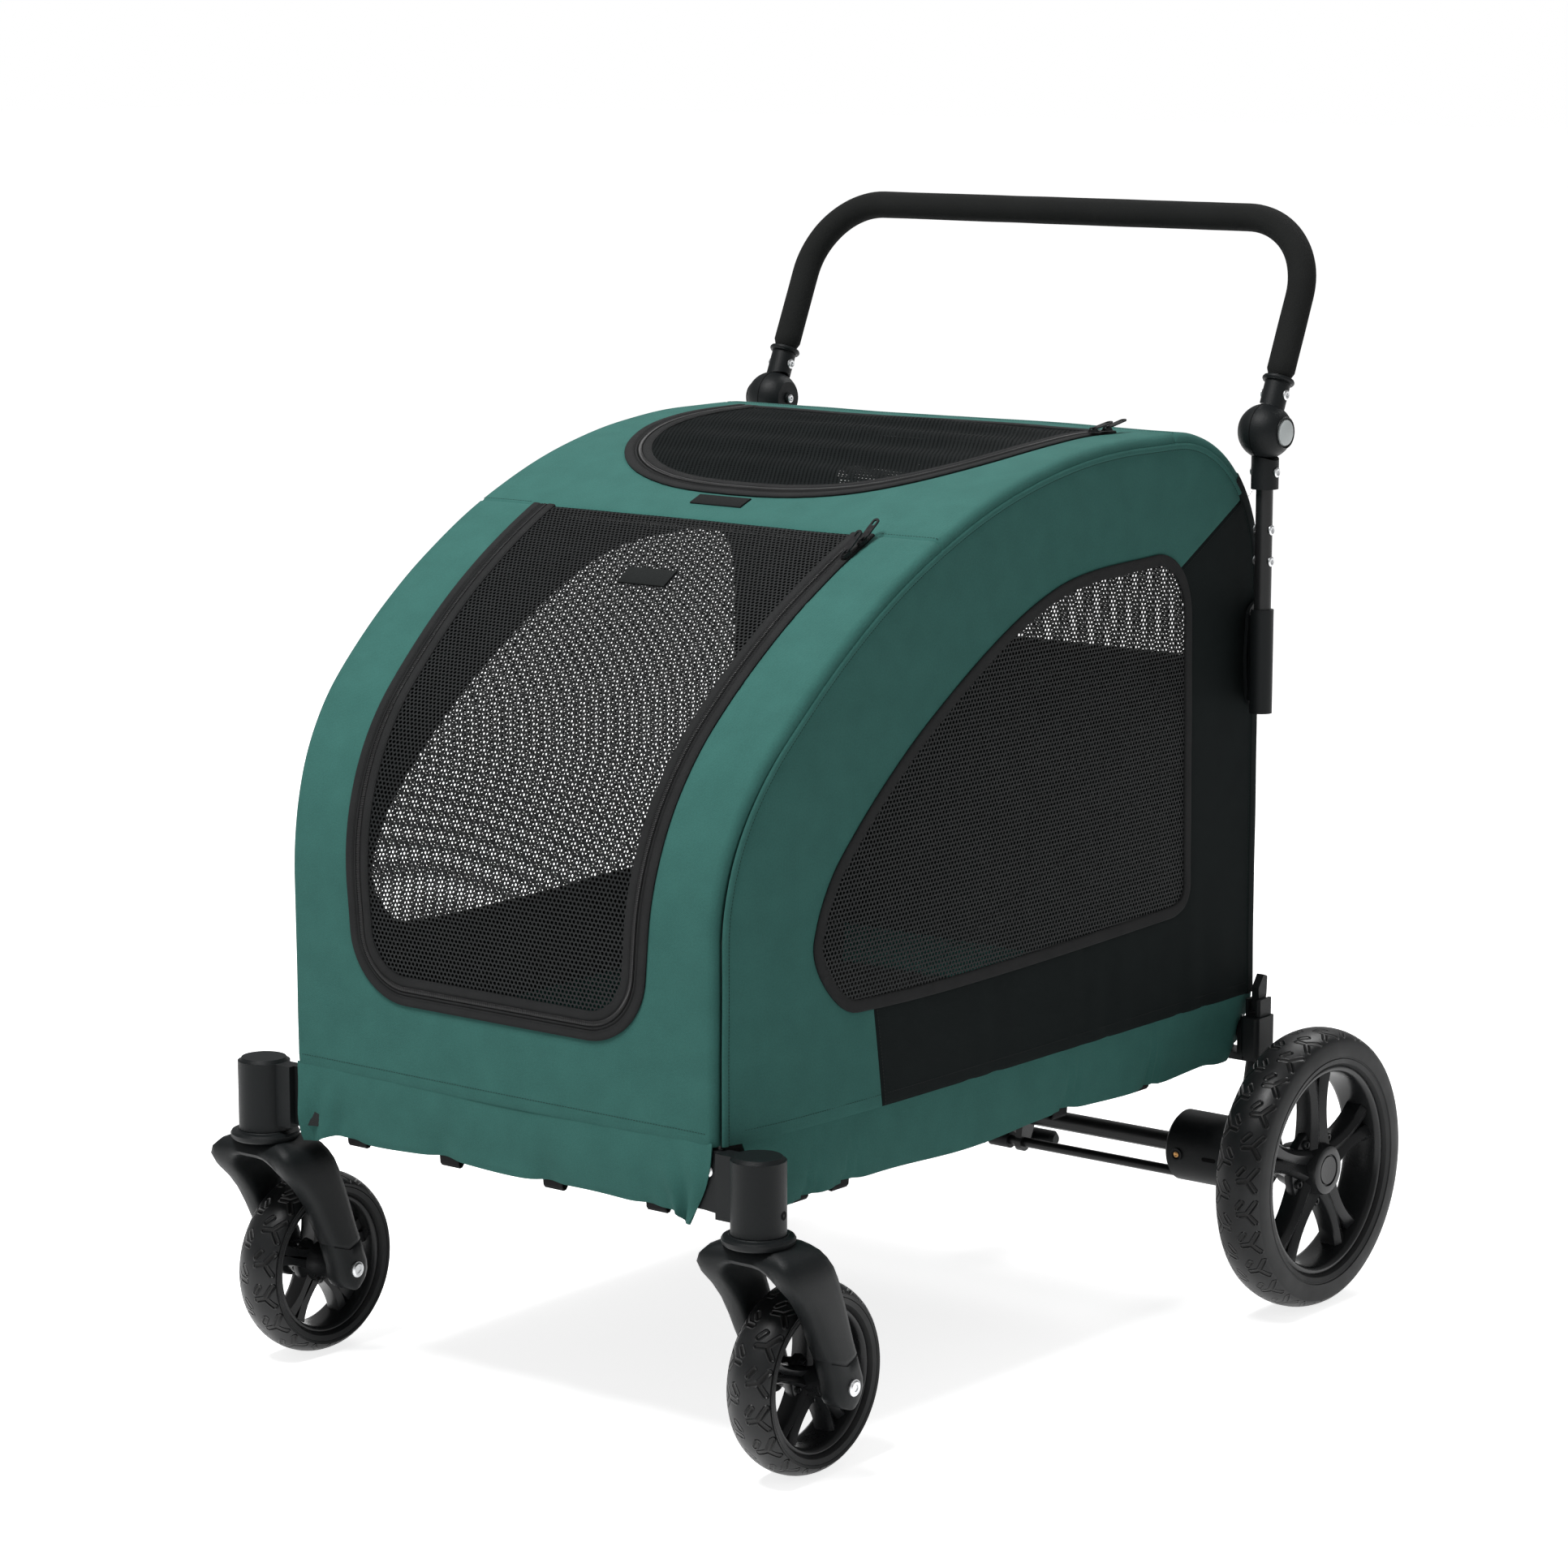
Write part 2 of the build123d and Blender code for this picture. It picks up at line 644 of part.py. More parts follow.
with BuildLine() as front_path:
    leg_foot = (front_hoop_x, front_pivot_y, front_pivot_z + 4)
    leg_top = (front_hoop_x, front_pivot_y, arch_start_z)
    Line(leg_foot, leg_top)
    ThreePointArc(leg_top, arch_point(low_centre, low_r, 157, front_hoop_x), knee)
    ThreePointArc(knee, arch_point(high_centre, high_r, 125, front_hoop_x), shoulder)
    TangentArc(shoulder, elbow_out, tangent=rise)
    Line(elbow_out, (0, elbow_out.Y, elbow_out.Z))

with BuildPart() as front_hoop:
    half_front = swept_tube(front_path.line, hoop_r)
    add(half_front)
    add(tube((248.2, front_pivot_y, front_pivot_z), (263.8, front_pivot_y, front_pivot_z), 9.5))
    mirror(about=Plane.YZ)
    for x in (-270, 240):
        add(tube((x, front_pivot_y, front_pivot_z), (x + 30, front_pivot_y, front_pivot_z), pin_r + running_gap), mode=Mode.SUBTRACT)
save(front_hoop.part, "front_hoop")

rear_inset = rear_y - fold_y
rear_bend = corner_r - rear_inset
with BuildLine() as rear_path:
    foot = (rear_hoop_x, fold_y, fold_z + 6)
    bend_start = (rear_hoop_x, fold_y, rear_centre[1])
    bend_end = arch_point(rear_centre, rear_bend, 90, rear_hoop_x)
    corner_out = (rear_hoop_x - elbow_r, bend_end[1] - elbow_r, bend_end[2])
    Line(foot, bend_start)
    ThreePointArc(bend_start, arch_point(rear_centre, rear_bend, 45, rear_hoop_x), bend_end)
    TangentArc(bend_end, corner_out, tangent=(0, -1, 0))
    Line(corner_out, (0, corner_out[1], corner_out[2]))

with BuildPart() as rear_hoop:
    add(swept_tube(rear_path.line, hoop_r))
    add(tube((278, fold_y, fold_z), (294, fold_y, fold_z), 11))
    mirror(about=Plane.YZ)
    for x in (-300, 270):
        add(tube((x, fold_y, fold_z), (x + 30, fold_y, fold_z), pin_r + running_gap), mode=Mode.SUBTRACT)
save(rear_hoop.part, "rear_hoop")

# ---------------------------------------------------------------- handle posts

sleeve_low, sleeve_top = 634.0, 744.0
plate_x, plate_t = 301.6, 4.0
post_low, post_top = 636.0, 892.0
with BuildPart() as post_bracket:
    add(tube((hinge_x, hinge_y, sleeve_low), (hinge_x, hinge_y, sleeve_top), sleeve_r))
    with BuildSketch(Plane.YZ.offset(plate_x)):
        with BuildLine():
            plate = FilletPolyline((402, 757), (366, 742), (362, 690), (366, 640), (402, 627), radius=16)
            Line(plate @ 1, plate @ 0)
        make_face()
    extrude(amount=plate_t)
    with BuildSketch(Plane.XY.offset(644)):
        with BuildLine():
            Polyline((plate_x + 1, 368), (plate_x + 1, 384), (hinge_x, hinge_y + 8), (hinge_x - 6, hinge_y - 6), close=True)
        make_face()
    extrude(amount=92)
    for z in bolt_heights:
        add(tube((294.05, fold_y, z), (plate_x + plate_t, fold_y, z), 3))
        add(tube((plate_x + plate_t, fold_y, z), (plate_x + plate_t + 3, fold_y, z), 6))
    add(tube((hinge_x, hinge_y, sleeve_low - 1), (hinge_x, hinge_y, sleeve_top + 1), post_r), mode=Mode.SUBTRACT)
save_pair(post_bracket.part, "post_bracket")

save_pair(tube((hinge_x, hinge_y, post_low), (hinge_x, hinge_y, post_top), post_r, post_r - 1.5), "handle_post")


def ball_half(x0, x1):
    # The hinge is a ball with a flat cut on each side, and this is its part between x0 and x1.
    in_r, out_r = (sqrt(ball_r**2 - (x - ball_x) ** 2) for x in (ball_in_x, ball_out_x))
    with BuildPart() as piece:
        with BuildSketch(Plane(origin=(0, hinge_y, hinge_z), x_dir=(1, 0, 0), z_dir=(0, -1, 0))):
            with BuildLine():
                Line((ball_in_x, 0), (ball_in_x, in_r))
                ThreePointArc((ball_in_x, in_r), (ball_x, ball_r), (ball_out_x, out_r))
                Line((ball_out_x, out_r), (ball_out_x, 0))
                Line((ball_out_x, 0), (ball_in_x, 0))
            make_face()
        revolve(axis=Axis((0, hinge_y, hinge_z), (1, 0, 0)))
        add(slab(x0, x1, hinge_y - 60, hinge_y + 60, hinge_z - 60, hinge_z + 60), mode=Mode.INTERSECT)
    return piece.part


def barrel(x0, x1, radius):
    return tube((x0, hinge_y, hinge_z), (x1, hinge_y, hinge_z), radius)


lean = radians(handle_lean)
up = Vector(0, sin(lean), cos(lean))
ball = Vector(hinge_x, hinge_y, hinge_z)

with BuildPart() as hinge_lower:
    add(tube((hinge_x, hinge_y, 871), (hinge_x, hinge_y, hinge_z), 14.5))
    add(barrel(ball_split_x - 0.2, hinge_x + 20, ball_r + 0.6), mode=Mode.SUBTRACT)
    add(ball_half(ball_in_x, ball_split_x - 0.2))
    add(tube((ball_in_x - 3, hinge_y, hinge_z), (ball_in_x, hinge_y, hinge_z), 6))
    add(tube((hinge_x, hinge_y, 860), (hinge_x, hinge_y, post_top), post_r), mode=Mode.SUBTRACT)
save_pair(hinge_lower.part, "hinge_lower")

with BuildPart() as hinge_upper:
    add(tube(ball, ball + up * 58, 13.5))
    add(tube(ball + up * 54, ball + up * 59, 16))
    add(barrel(hinge_x - 20, ball_split_x + 0.2, ball_r + 0.6), mode=Mode.SUBTRACT)
    add(ball_half(ball_split_x + 0.2, ball_out_x))
    add(barrel(ball_out_x - 11, ball_out_x + 1, button_r + running_gap), mode=Mode.SUBTRACT)
    add(tube(ball + up * 38, ball + up * 70, handle_tube_r), mode=Mode.SUBTRACT)
save_pair(hinge_upper.part, "hinge_upper")

with BuildPart() as button:
    add(barrel(ball_out_x - 7, ball_out_x + 2.5, button_r))
    fillet(button.edges().group_by(Axis.X)[-1], 2)
save_pair(button.part, "push_button")

# Handle: one bent tube in a plane that leans back, with a foam grip over it from collar to collar.
handle_plane = Plane(origin=(0, hinge_y, hinge_z), x_dir=(1, 0, 0), z_dir=(0, -cos(lean), sin(lean)))


def handle_path(start):
    with BuildLine(handle_plane) as path:
        FilletPolyline(
            (-hinge_x, start), (-hinge_x, handle_reach), (hinge_x, handle_reach), (hinge_x, start),
            radius=handle_bend_r,
        )
    return path.line


save(swept_tube(handle_path(38), handle_tube_r), "handle_tube")
straight = hinge_x - handle_bend_r
bar_y, bar_z = hinge_y + handle_reach * sin(lean), hinge_z + handle_reach * cos(lean)
with BuildPart() as grip:
    add(swept_tube(handle_path(60), grip_r))
    add(slab(-straight, straight, bar_y - 20, bar_y + 20, bar_z - 20, bar_z + 20), mode=Mode.SUBTRACT)
    add(tube((-straight, bar_y, bar_z), (straight, bar_y, bar_z), grip_r))
    add(swept_tube(handle_path(50), handle_tube_r), mode=Mode.SUBTRACT)
save(grip.part, "foam_grip")
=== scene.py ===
from functools import partialmethod
from math import ceil, cos, hypot, pi, radians, sin, sqrt

import bmesh
import bpy
import numpy as np
from mathutils import Matrix, Vector, noise
from mathutils.geometry import delaunay_2d_cdt


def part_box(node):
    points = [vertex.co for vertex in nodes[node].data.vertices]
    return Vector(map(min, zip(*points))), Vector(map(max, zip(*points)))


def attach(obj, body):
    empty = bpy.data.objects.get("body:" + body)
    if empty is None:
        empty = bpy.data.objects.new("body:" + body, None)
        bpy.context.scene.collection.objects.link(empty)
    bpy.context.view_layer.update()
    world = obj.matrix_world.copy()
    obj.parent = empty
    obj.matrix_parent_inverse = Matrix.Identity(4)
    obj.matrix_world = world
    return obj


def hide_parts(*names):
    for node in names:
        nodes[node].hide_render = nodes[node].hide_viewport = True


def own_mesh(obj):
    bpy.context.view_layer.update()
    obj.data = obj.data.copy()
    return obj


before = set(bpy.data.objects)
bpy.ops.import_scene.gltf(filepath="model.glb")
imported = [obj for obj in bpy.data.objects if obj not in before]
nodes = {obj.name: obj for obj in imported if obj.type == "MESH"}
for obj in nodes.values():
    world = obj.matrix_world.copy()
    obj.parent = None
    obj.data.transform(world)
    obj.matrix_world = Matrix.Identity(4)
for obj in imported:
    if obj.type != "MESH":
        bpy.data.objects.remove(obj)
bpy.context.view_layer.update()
sides = (("left", 1), ("right", -1))


# ---- Room and camera ------------------------------------------------------------------
# A pale floor that runs out of sight, a broad lamp in front and above, a weaker one behind, a
# faint one at the side, and an even white surround.

floor_mesh = bpy.data.meshes.new("room_floor")
floor_mesh.from_pydata([(-40, -40, 0), (40, -40, 0), (40, 40, 0), (-40, 40, 0)], [], [(0, 1, 2, 3)])
room_floor = bpy.data.objects.new("room_floor", floor_mesh)
bpy.context.scene.collection.objects.link(room_floor)


class Wire:
    """An output of a shader node. Arithmetic on it adds Math nodes."""

    def __init__(self, tree, socket):
        self.tree, self.socket = tree, socket

    def math(self, operation, *others, clamp=False):
        step = self.tree.nodes.new("ShaderNodeMath")
        step.operation, step.use_clamp = operation, clamp
        for at, value in zip(step.inputs, (self, *others)):
            if isinstance(value, Wire):
                self.tree.links.new(value.socket, at)
            else:
                at.default_value = value
        return Wire(self.tree, step.outputs[0])

    __add__ = __radd__ = partialmethod(math, "ADD")
    __sub__ = partialmethod(math, "SUBTRACT")
    __mul__ = partialmethod(math, "MULTIPLY")
    __truediv__ = partialmethod(math, "DIVIDE")
    __abs__ = partialmethod(math, "ABSOLUTE")
    __lt__ = partialmethod(math, "LESS_THAN")
    __gt__ = partialmethod(math, "GREATER_THAN")
    fract = partialmethod(math, "FRACT")
    sine = partialmethod(math, "SINE")
    root = partialmethod(math, "SQRT")
    most = partialmethod(math, "MAXIMUM")
    least = partialmethod(math, "MINIMUM")
    held = partialmethod(math, "ADD", 0.0, clamp=True)


class Finish:
    """A material under construction: its tree, and its one Principled shader."""

    def __init__(self, name, **constants):
        self.material = bpy.data.materials.new(name)
        self.material.use_nodes = True
        self.tree = self.material.node_tree
        self.shader = self.tree.nodes["Principled BSDF"]
        self.set(**constants)

    def node(self, kind, settings=None, out=0, **values):
        made = self.tree.nodes.new(kind)
        for key, value in (settings or {}).items():
            setattr(made, key, value)
        for key, value in values.items():
            numbered = key[0] == "i" and key[1:].isdigit()
            self.put(made.inputs[int(key[1:]) if numbered else key.replace("_", " ")], value)
        return Wire(self.tree, made.outputs[out])

    def put(self, at, value):
        if isinstance(value, Wire):
            self.tree.links.new(value.socket, at)
        elif isinstance(value, tuple) and len(value) == 3 and at.type == "RGBA":
            at.default_value = (*value, 1)
        else:
            at.default_value = value

    def set(self, **values):
        for key, value in values.items():
            self.put(self.shader.inputs[key.replace("_", " ")], value)
        return self

    def place(self):
        return self.node("ShaderNodeTexCoord", out=3)

    def grain(self, scale, detail=3.0, rough=0.5):
        at = self.place()
        return self.node("ShaderNodeTexNoise", Vector=at, Scale=scale, Detail=detail, Roughness=rough)

    def ramp(self, value, low, high, curve="LINEAR"):
        """0 up to low, 1 from high, and between them as the curve goes."""
        settings = {"interpolation_type": curve}
        return self.node("ShaderNodeMapRange", settings, Value=value, i1=low, i2=high, i3=0.0, i4=1.0)

    def blend(self, share, low, high):
        return self.node("ShaderNodeMix", {"data_type": "RGBA"}, out=2, i0=share, i6=low, i7=high)

    def relief(self, height, depth):
        self.set(Normal=self.node("ShaderNodeBump", Height=height, Distance=depth, Strength=1.0))
        return self


floor_finish = Finish("pale_floor", Base_Color=(0.82, 0.82, 0.82), Roughness=0.8, Specular_IOR_Level=0.1)


def ray_is(tree, *kinds):
    """1 for rays of any of these kinds, and 0 for others."""
    path = tree.nodes.new("ShaderNodeLightPath")
    first, *rest = (Wire(tree, path.outputs[f"Is {kind} Ray"]) for kind in kinds)
    for other in rest:
        first = first.most(other)
    return first


seen = ray_is(floor_finish.tree, "Camera", "Glossy", "Transmission")
glow = floor_finish.node("ShaderNodeEmission", Color=(1.0, 1.0, 1.0), Strength=seen * 0.78)
both = floor_finish.tree.nodes.new("ShaderNodeAddShader")
floor_finish.tree.links.new(floor_finish.shader.outputs[0], both.inputs[0])
floor_finish.tree.links.new(glow.socket, both.inputs[1])
floor_finish.tree.links.new(both.outputs[0], floor_finish.tree.nodes["Material Output"].inputs[0])
floor_mesh.materials.append(floor_finish.material)

world = bpy.data.worlds.new("white_surround")
world.use_nodes = True
bpy.context.scene.world = world
sky = world.node_tree
white = ray_is(sky, "Camera", "Transmission")
sky.nodes["Background"].inputs[0].default_value = (1, 1, 1, 1)
sky.links.new((white * 0.71 + 0.29).socket, sky.nodes["Background"].inputs[1])


def lamp(name, place, aim, size, power):
    light = bpy.data.lights.new(name, "AREA")
    light.shape, light.size, light.energy = "DISK", size, power
    holder = bpy.data.objects.new(name, light)
    holder.location = place
    holder.rotation_euler = (Vector(aim) - Vector(place)).to_track_quat("-Z", "Y").to_euler()
    bpy.context.scene.collection.objects.link(holder)


lamp("front_lamp", (-0.3, -2.2, 5.2), (0, 0, 0.5), 2.0, 315)
lamp("side_lamp", (4.2, 0.2, 2.2), (0, 0, 0.5), 2.2, 8)
lamp("rear_lamp", (-0.5, 3.2, 3.9), (0, 0, 0.6), 2.2, 75)

camera_data = bpy.data.cameras.new("camera")
camera_data.sensor_width, camera_data.lens = 36.0, 103.05
camera = bpy.data.objects.new("camera", camera_data)
camera.location = (2.8390, -3.6207, 1.3741)
camera.rotation_euler = (pi / 2 - 0.1729, 0, 0.6702)
bpy.context.scene.collection.objects.link(camera)
bpy.context.scene.camera = camera
bpy.context.scene.view_settings.view_transform = "Standard"


# ---- Base frame, hoops, posts and axle ------------------------------------------------
# Round steel tube with black powder coat, which has a fine orange peel and dulls a little
# where hands and cloth rub it. The tubes keep their CAD shapes and only take a finish.

powder = Finish("powder_coat", Specular_IOR_Level=0.28, Coat_Weight=0.12, Coat_Roughness=0.25)
peel = powder.grain(900, 2)
rub = powder.grain(9, 4)
powder.set(Base_Color=powder.blend(rub, (0.006, 0.0064, 0.0068), (0.012, 0.0125, 0.013)))
powder.set(Roughness=rub * 0.18 + 0.28).relief(peel, 0.0002)


def paint(finish, *names):
    for name in names:
        slots = nodes[name].data.materials
        slots.clear()
        slots.append(finish.material)
        for face in nodes[name].data.polygons:
            face.material_index = 0


tubes = ["front_rail", "rear_rail", "side_rail_left", "side_rail_right", "cross_tubes", "front_hoop"]
tubes += ["rear_hoop", "axle_tube", "brake_rod", "handle_tube", "handle_post_left", "handle_post_right"]
paint(powder, *tubes)


# ---- Corner castings ------------------------------------------------------------------
# Glass-filled nylon, moulded black with a fine spark texture: caster housings at the front,
# hinge brackets at the back, legs with their axle drums, handle brackets, latch levers. The
# axles and rivets are zinc-plated steel.

nylon = Finish("moulded_nylon", Specular_IOR_Level=0.17)
spark = nylon.grain(1400, 2)
cloud = nylon.grain(14, 4)
nylon.set(Base_Color=nylon.blend(cloud, (0.0048, 0.0060, 0.0065), (0.0080, 0.0096, 0.0103)))
nylon.set(Roughness=cloud * 0.2 + 0.36).relief(spark, 0.00025)
for side, _ in sides:
    paint(nylon, f"caster_housing_{side}", f"rear_bracket_{side}", f"rear_leg_{side}", f"post_bracket_{side}")
    paint(nylon, f"latch_lever_{side}", f"hinge_lower_{side}", f"hinge_upper_{side}")
paint(nylon, "brake_pedal", "floor_board")

zinc = Finish("zinc_plate", Metallic=1.0)
scuff = zinc.grain(300, 3)
zinc.set(Base_Color=zinc.blend(scuff, (0.50, 0.51, 0.52), (0.80, 0.81, 0.82)), Roughness=scuff * 0.25 + 0.22)
paint(zinc, "axle_rod", "front_axle_left", "front_axle_right")


def finished(name, mesh, body, slot, *instead):
    """Puts a finished mesh in the scene, on its body, in place of the plain nodes named."""
    piece = bpy.data.objects.new(name, mesh)
    bpy.context.scene.collection.objects.link(piece)
    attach(piece, body)
    if instead:
        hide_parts(*instead)
    return piece


def as_mesh(work, name, *finishes, angle=38, weld=True):
    """A bmesh made into a mesh with outward faces and smooth shading by angle."""
    if weld:
        bmesh.ops.remove_doubles(work, verts=work.verts, dist=1e-6)
    bmesh.ops.recalc_face_normals(work, faces=work.faces)
    for face in work.faces:
        face.smooth = True
    mesh = bpy.data.meshes.new(name)
    work.to_mesh(mesh)
    work.free()
    mesh.set_sharp_from_angle(angle=radians(angle))
    for finish in finishes:
        mesh.materials.append(finish.material)
    return mesh


def built(work, name, finish, body, slot, *instead):
    """A bmesh finished as a piece in one finish."""
    return finished(name, as_mesh(work, name, finish), body, slot, *instead)


def added(work, other):
    """Takes another piece of work into this one."""
    part = bpy.data.meshes.new("part")
    other.to_mesh(part)
    work.from_mesh(part)
    other.free()
    bpy.data.meshes.remove(part)


def skinned(work, rings):
    """Joins rings of corners one after another, and shuts the two ends."""
    for a, b in zip(rings, rings[1:]):
        for k in range(len(a)):
            n = (k + 1) % len(a)
            work.faces.new((a[k], a[n], b[n], b[k]))
    work.faces.new(rings[0])
    work.faces.new(rings[-1][::-1])


def about(centre, axis):
    """Turns a lathe's X axis onto the axis given, at the centre given."""
    return Matrix.Translation(centre) @ Vector(axis).to_track_quat("X", "Z").to_matrix().to_4x4()


def on_circle(centre, x, r, angle):
    """A point at the radius and angle given about the X axis through centre, x along it."""
    return centre[0] + x, centre[1] + r * cos(angle), centre[2] + r * sin(angle)


def lathe(work, profile, centre, steps=96, closed=True):
    """Turns (x, radius) corners about the X axis through centre. A radius of 0 is a pole."""
    rings = []
    for x, r in profile:
        count = 1 if r < 1e-7 else steps
        rings.append([work.verts.new(on_circle(centre, x, r, 2 * pi * k / steps)) for k in range(count)])
    pairs = list(zip(rings, rings[1:] + rings[:1])) if closed else list(zip(rings, rings[1:]))
    for a, b in pairs:
        if len(a) == 1 and len(b) == 1:
            continue
        for k in range(steps):
            ring = [a[k % len(a)], a[(k + 1) % len(a)], b[(k + 1) % len(b)], b[k % len(b)]]
            work.faces.new(list(dict.fromkeys(ring)))


def rivet(centre, out, radius=0.0052, height=0.0022):
    """A tubular rivet head: a low dome with a dimple, facing along out."""
    work = bmesh.new()
    shape = [(0, radius), (height * 0.55, radius), (height, radius * 0.72), (height * 0.9, radius * 0.42)]
    shape += [(height * 0.35, radius * 0.34), (height * 0.3, 0)]
    lathe(work, shape, (0, 0, 0), 24, closed=False)
    bmesh.ops.transform(work, matrix=about(centre, out), verts=work.verts)
    return work


def rivets(name, body, spots):
    whole = bmesh.new()
    for centre, out, *size in spots:
        added(whole, rivet(centre, out, *size))
    return built(whole, name, zinc, body, "steel")


hinge_x, hinge_y, hinge_z = 0.329, 0.355, 0.931
for side, q in sides:
    rivets(f"web_rivet_{side}", "base", [((q * 0.262, -0.4825, 0.299), (0, -1, 0), 0.0058, 0.0026)])
    rivets(f"post_rivets_{side}", "rear_frame", [
        ((q * hinge_x + way * reach, hinge_y, z), (way, 0, 0))
        for way in (-1, 1) for z, reach in ((0.828, 0.0088), (0.795, 0.0088), (0.889, 0.0142))
    ] + [((q * 0.3086, 0.385, z), (q, 0, 0), 0.0064, 0.0026) for z in (0.712, 0.668)])


# ---- Tyres ----------------------------------------------------------------------------
# Foam-filled rubber, square in the shoulder. A row of forked sipes, each with a short one
# beside it, runs along each edge of the tread, and one fine ring stands above the rim.

rubber = Finish("tyre_rubber", Specular_IOR_Level=0.28)
cell = rubber.node("ShaderNodeSeparateXYZ", Vector=rubber.node("ShaderNodeUVMap", {"uv_map": "tread"}))
across = Wire(rubber.tree, cell.socket.node.outputs[1])
pitch = 0.0365
far_side = across < 0.0
step = (cell / pitch + far_side * 0.5).fract() * pitch - pitch / 2
edge = abs(across)


def sipe(a, b, c, d):
    """Distance in metres from a straight cut between (a, b) and (c, d)."""
    run_x, run_y = c - a, d - b
    square = run_x ** 2 + run_y ** 2
    along = ((step - a) * (run_x / square) + (edge - b) * (run_y / square)).held()
    off_x, off_y = step - a - along * run_x, edge - b - along * run_y
    return (off_x * off_x + off_y * off_y).root()


cut = sipe(-0.012, 0.0255, 0.001, 0.0165).least(sipe(0.001, 0.0165, 0.0115, 0.0245))
cut = cut.least(sipe(0.001, 0.0165, 0.003, 0.0065)).least(sipe(-0.0115, 0.0105, -0.005, 0.0055))
sipe_bump_and_painted_shade = rubber.ramp(cut, 0.0009, 0.0017, "SMOOTHSTEP")
raised = ((abs(cut - 0.0027) / 0.0012).held() - 1.0) * -1.0
scuffs = rubber.grain(38, 5, 0.6)
pores = rubber.grain(1500, 2)
tint = rubber.blend(scuffs, (0.0055, 0.0060, 0.0064), (0.0120, 0.0127, 0.0134))
# Inside each sipe the rubber is painted near black: painted shade for the groove's depth, since the cut
# itself is only a bump.
rubber.set(Base_Color=rubber.blend(sipe_bump_and_painted_shade, (0.003, 0.003, 0.003), tint))
rubber.set(Roughness=scuffs * 0.25 + (edge > 0.0295) * 0.16 + 0.26)
rubber.relief(sipe_bump_and_painted_shade + raised * 0.55 + pores * 0.02 + scuffs * 0.04, 0.0034)


crown_shares = (0, 0.22, 0.44, 0.63, 0.8, 0.92, 1)
shoulder = ((0.0035, 0.0078), (0.0019, 0.0104), (0.0013, 0.0138))
wall_ring = ((0.0006, 0.0105), (0.0017, 0.0098), (0.0019, 0.0088),
             (0.0012, 0.0078), (0.0026, 0.003), (0.007, 0))


def tyre(end, side, centre, width, seat, steps):
    """A tyre on its wheel, round the centre given, which stands a radius above the floor."""
    half, radius = width / 2, centre[2]
    one = [(x * (half - 0.0055), radius - 0.0062 * x ** 2.2) for x in crown_shares]
    one += [(half - x, radius - r) for x, r in shoulder]
    one += [(half - 0.0002, seat + (radius - seat) * 0.5)]
    one += [(half - x, seat + r) for x, r in wall_ring]
    loop = [(-x, r) for x, r in reversed(one)] + one[1:]
    length, at = 0.0, [0.0]
    for (x0, r0), (x1, r1) in zip(one, one[1:]):
        length += hypot(x1 - x0, r1 - r0)
        at.append(length)
    mapped = [-v for v in reversed(at)] + at[1:]
    work = bmesh.new()
    tread = work.loops.layers.uv.new("tread")
    turns = [2 * pi * k / steps for k in range(steps)]
    rings = [[work.verts.new(on_circle(centre, x, r, a)) for a in turns] for x, r in loop]
    turn = 2 * pi * radius / steps
    scale = pitch * round(2 * pi * radius / pitch) / (2 * pi * radius)
    for i in range(len(rings)):
        j = (i + 1) % len(rings)
        for k in range(steps):
            n = (k + 1) % steps
            face = work.faces.new((rings[i][k], rings[i][n], rings[j][n], rings[j][k]))
            last = mapped[j] if j else 0.2
            spots = ((k, mapped[i]), (k + 1, mapped[i]), (k + 1, last), (k, last))
            for corner, (u, v) in zip(face.loops, spots):
                corner[tread].uv = (u * turn * scale, v)
    node = f"{end}_tyre_{side}"
    built(work, f"{node}_rubber", rubber, f"{end}_wheel_{side}", "tyre", node)


# Where each wheel's centre is, its radius, and the radius its tyre sits at. The front wheel
# trails behind its caster's pin.
rear_x, axle_y, rear_r, rear_seat = 0.395, 0.363, 0.150, 0.112
caster_x, wheel_y, front_r, front_seat = 0.3205, -0.4125, 0.0945, 0.072
caster_y = -0.481
for side, q in sides:
    tyre("rear", side, (q * rear_x, axle_y, rear_r), 0.058, rear_seat, 160)
    tyre("front", side, (q * caster_x, wheel_y, front_r), 0.054, front_seat, 128)


# ---- Wheel rims -----------------------------------------------------------------------
# Black nylon mouldings: a barrel with a raised lip, five spokes that each split in two
# towards the rim with a raised ridge on each branch, five dummy studs, and a flat hub cap.

satin = Finish("wheel_nylon", Specular_IOR_Level=0.28)
flow = satin.grain(22, 4)
satin.set(Base_Color=satin.blend(flow, (0.0080, 0.0086, 0.0092), (0.0170, 0.0180, 0.0190)))
satin.set(Roughness=flow * 0.18 + 0.2).relief(satin.grain(700, 2), 0.00012)


def blade(work, centre, out, turn, lean, inner_r, outer_r, depth):
    """One branch of a forked spoke: a ridged bar from the hub to the barrel."""
    rows = []
    for i in range(9):
        t = i / 8
        r = inner_r + (outer_r - inner_r) * t
        shift = lean * outer_r * (0.092 - 0.169 * t + 0.208 * t * t)
        half = outer_r * (0.104 - 0.115 * t + 0.100 * t * t)
        front = depth * (0.86 - 0.30 * t + 0.14 * t * t)
        ridge = 0.0036 * (1 - 0.3 * t)
        section = [(-half, -depth * 0.45), (-half, front - ridge * 1.6), (-half * 0.8, front - ridge * 0.9),
                   (lean * half * 0.3, front + ridge * 0.5), (half * 0.8, front - ridge * 0.9),
                   (half, front - ridge * 1.6), (half, -depth * 0.45)]
        row = []
        for across_r, x in section:
            a = turn + (shift + across_r) / r
            row.append(work.verts.new(on_circle(centre, out * x, r, a)))
        rows.append(row)
    skinned(work, rows)


cap = ((0.0048, 1), (0.0012, 0.95), (0, 0.86), (0, 0.64),
       (0.0020, 0.615), (0.0020, 0.58), (0.0004, 0.55), (0.0010, 0))


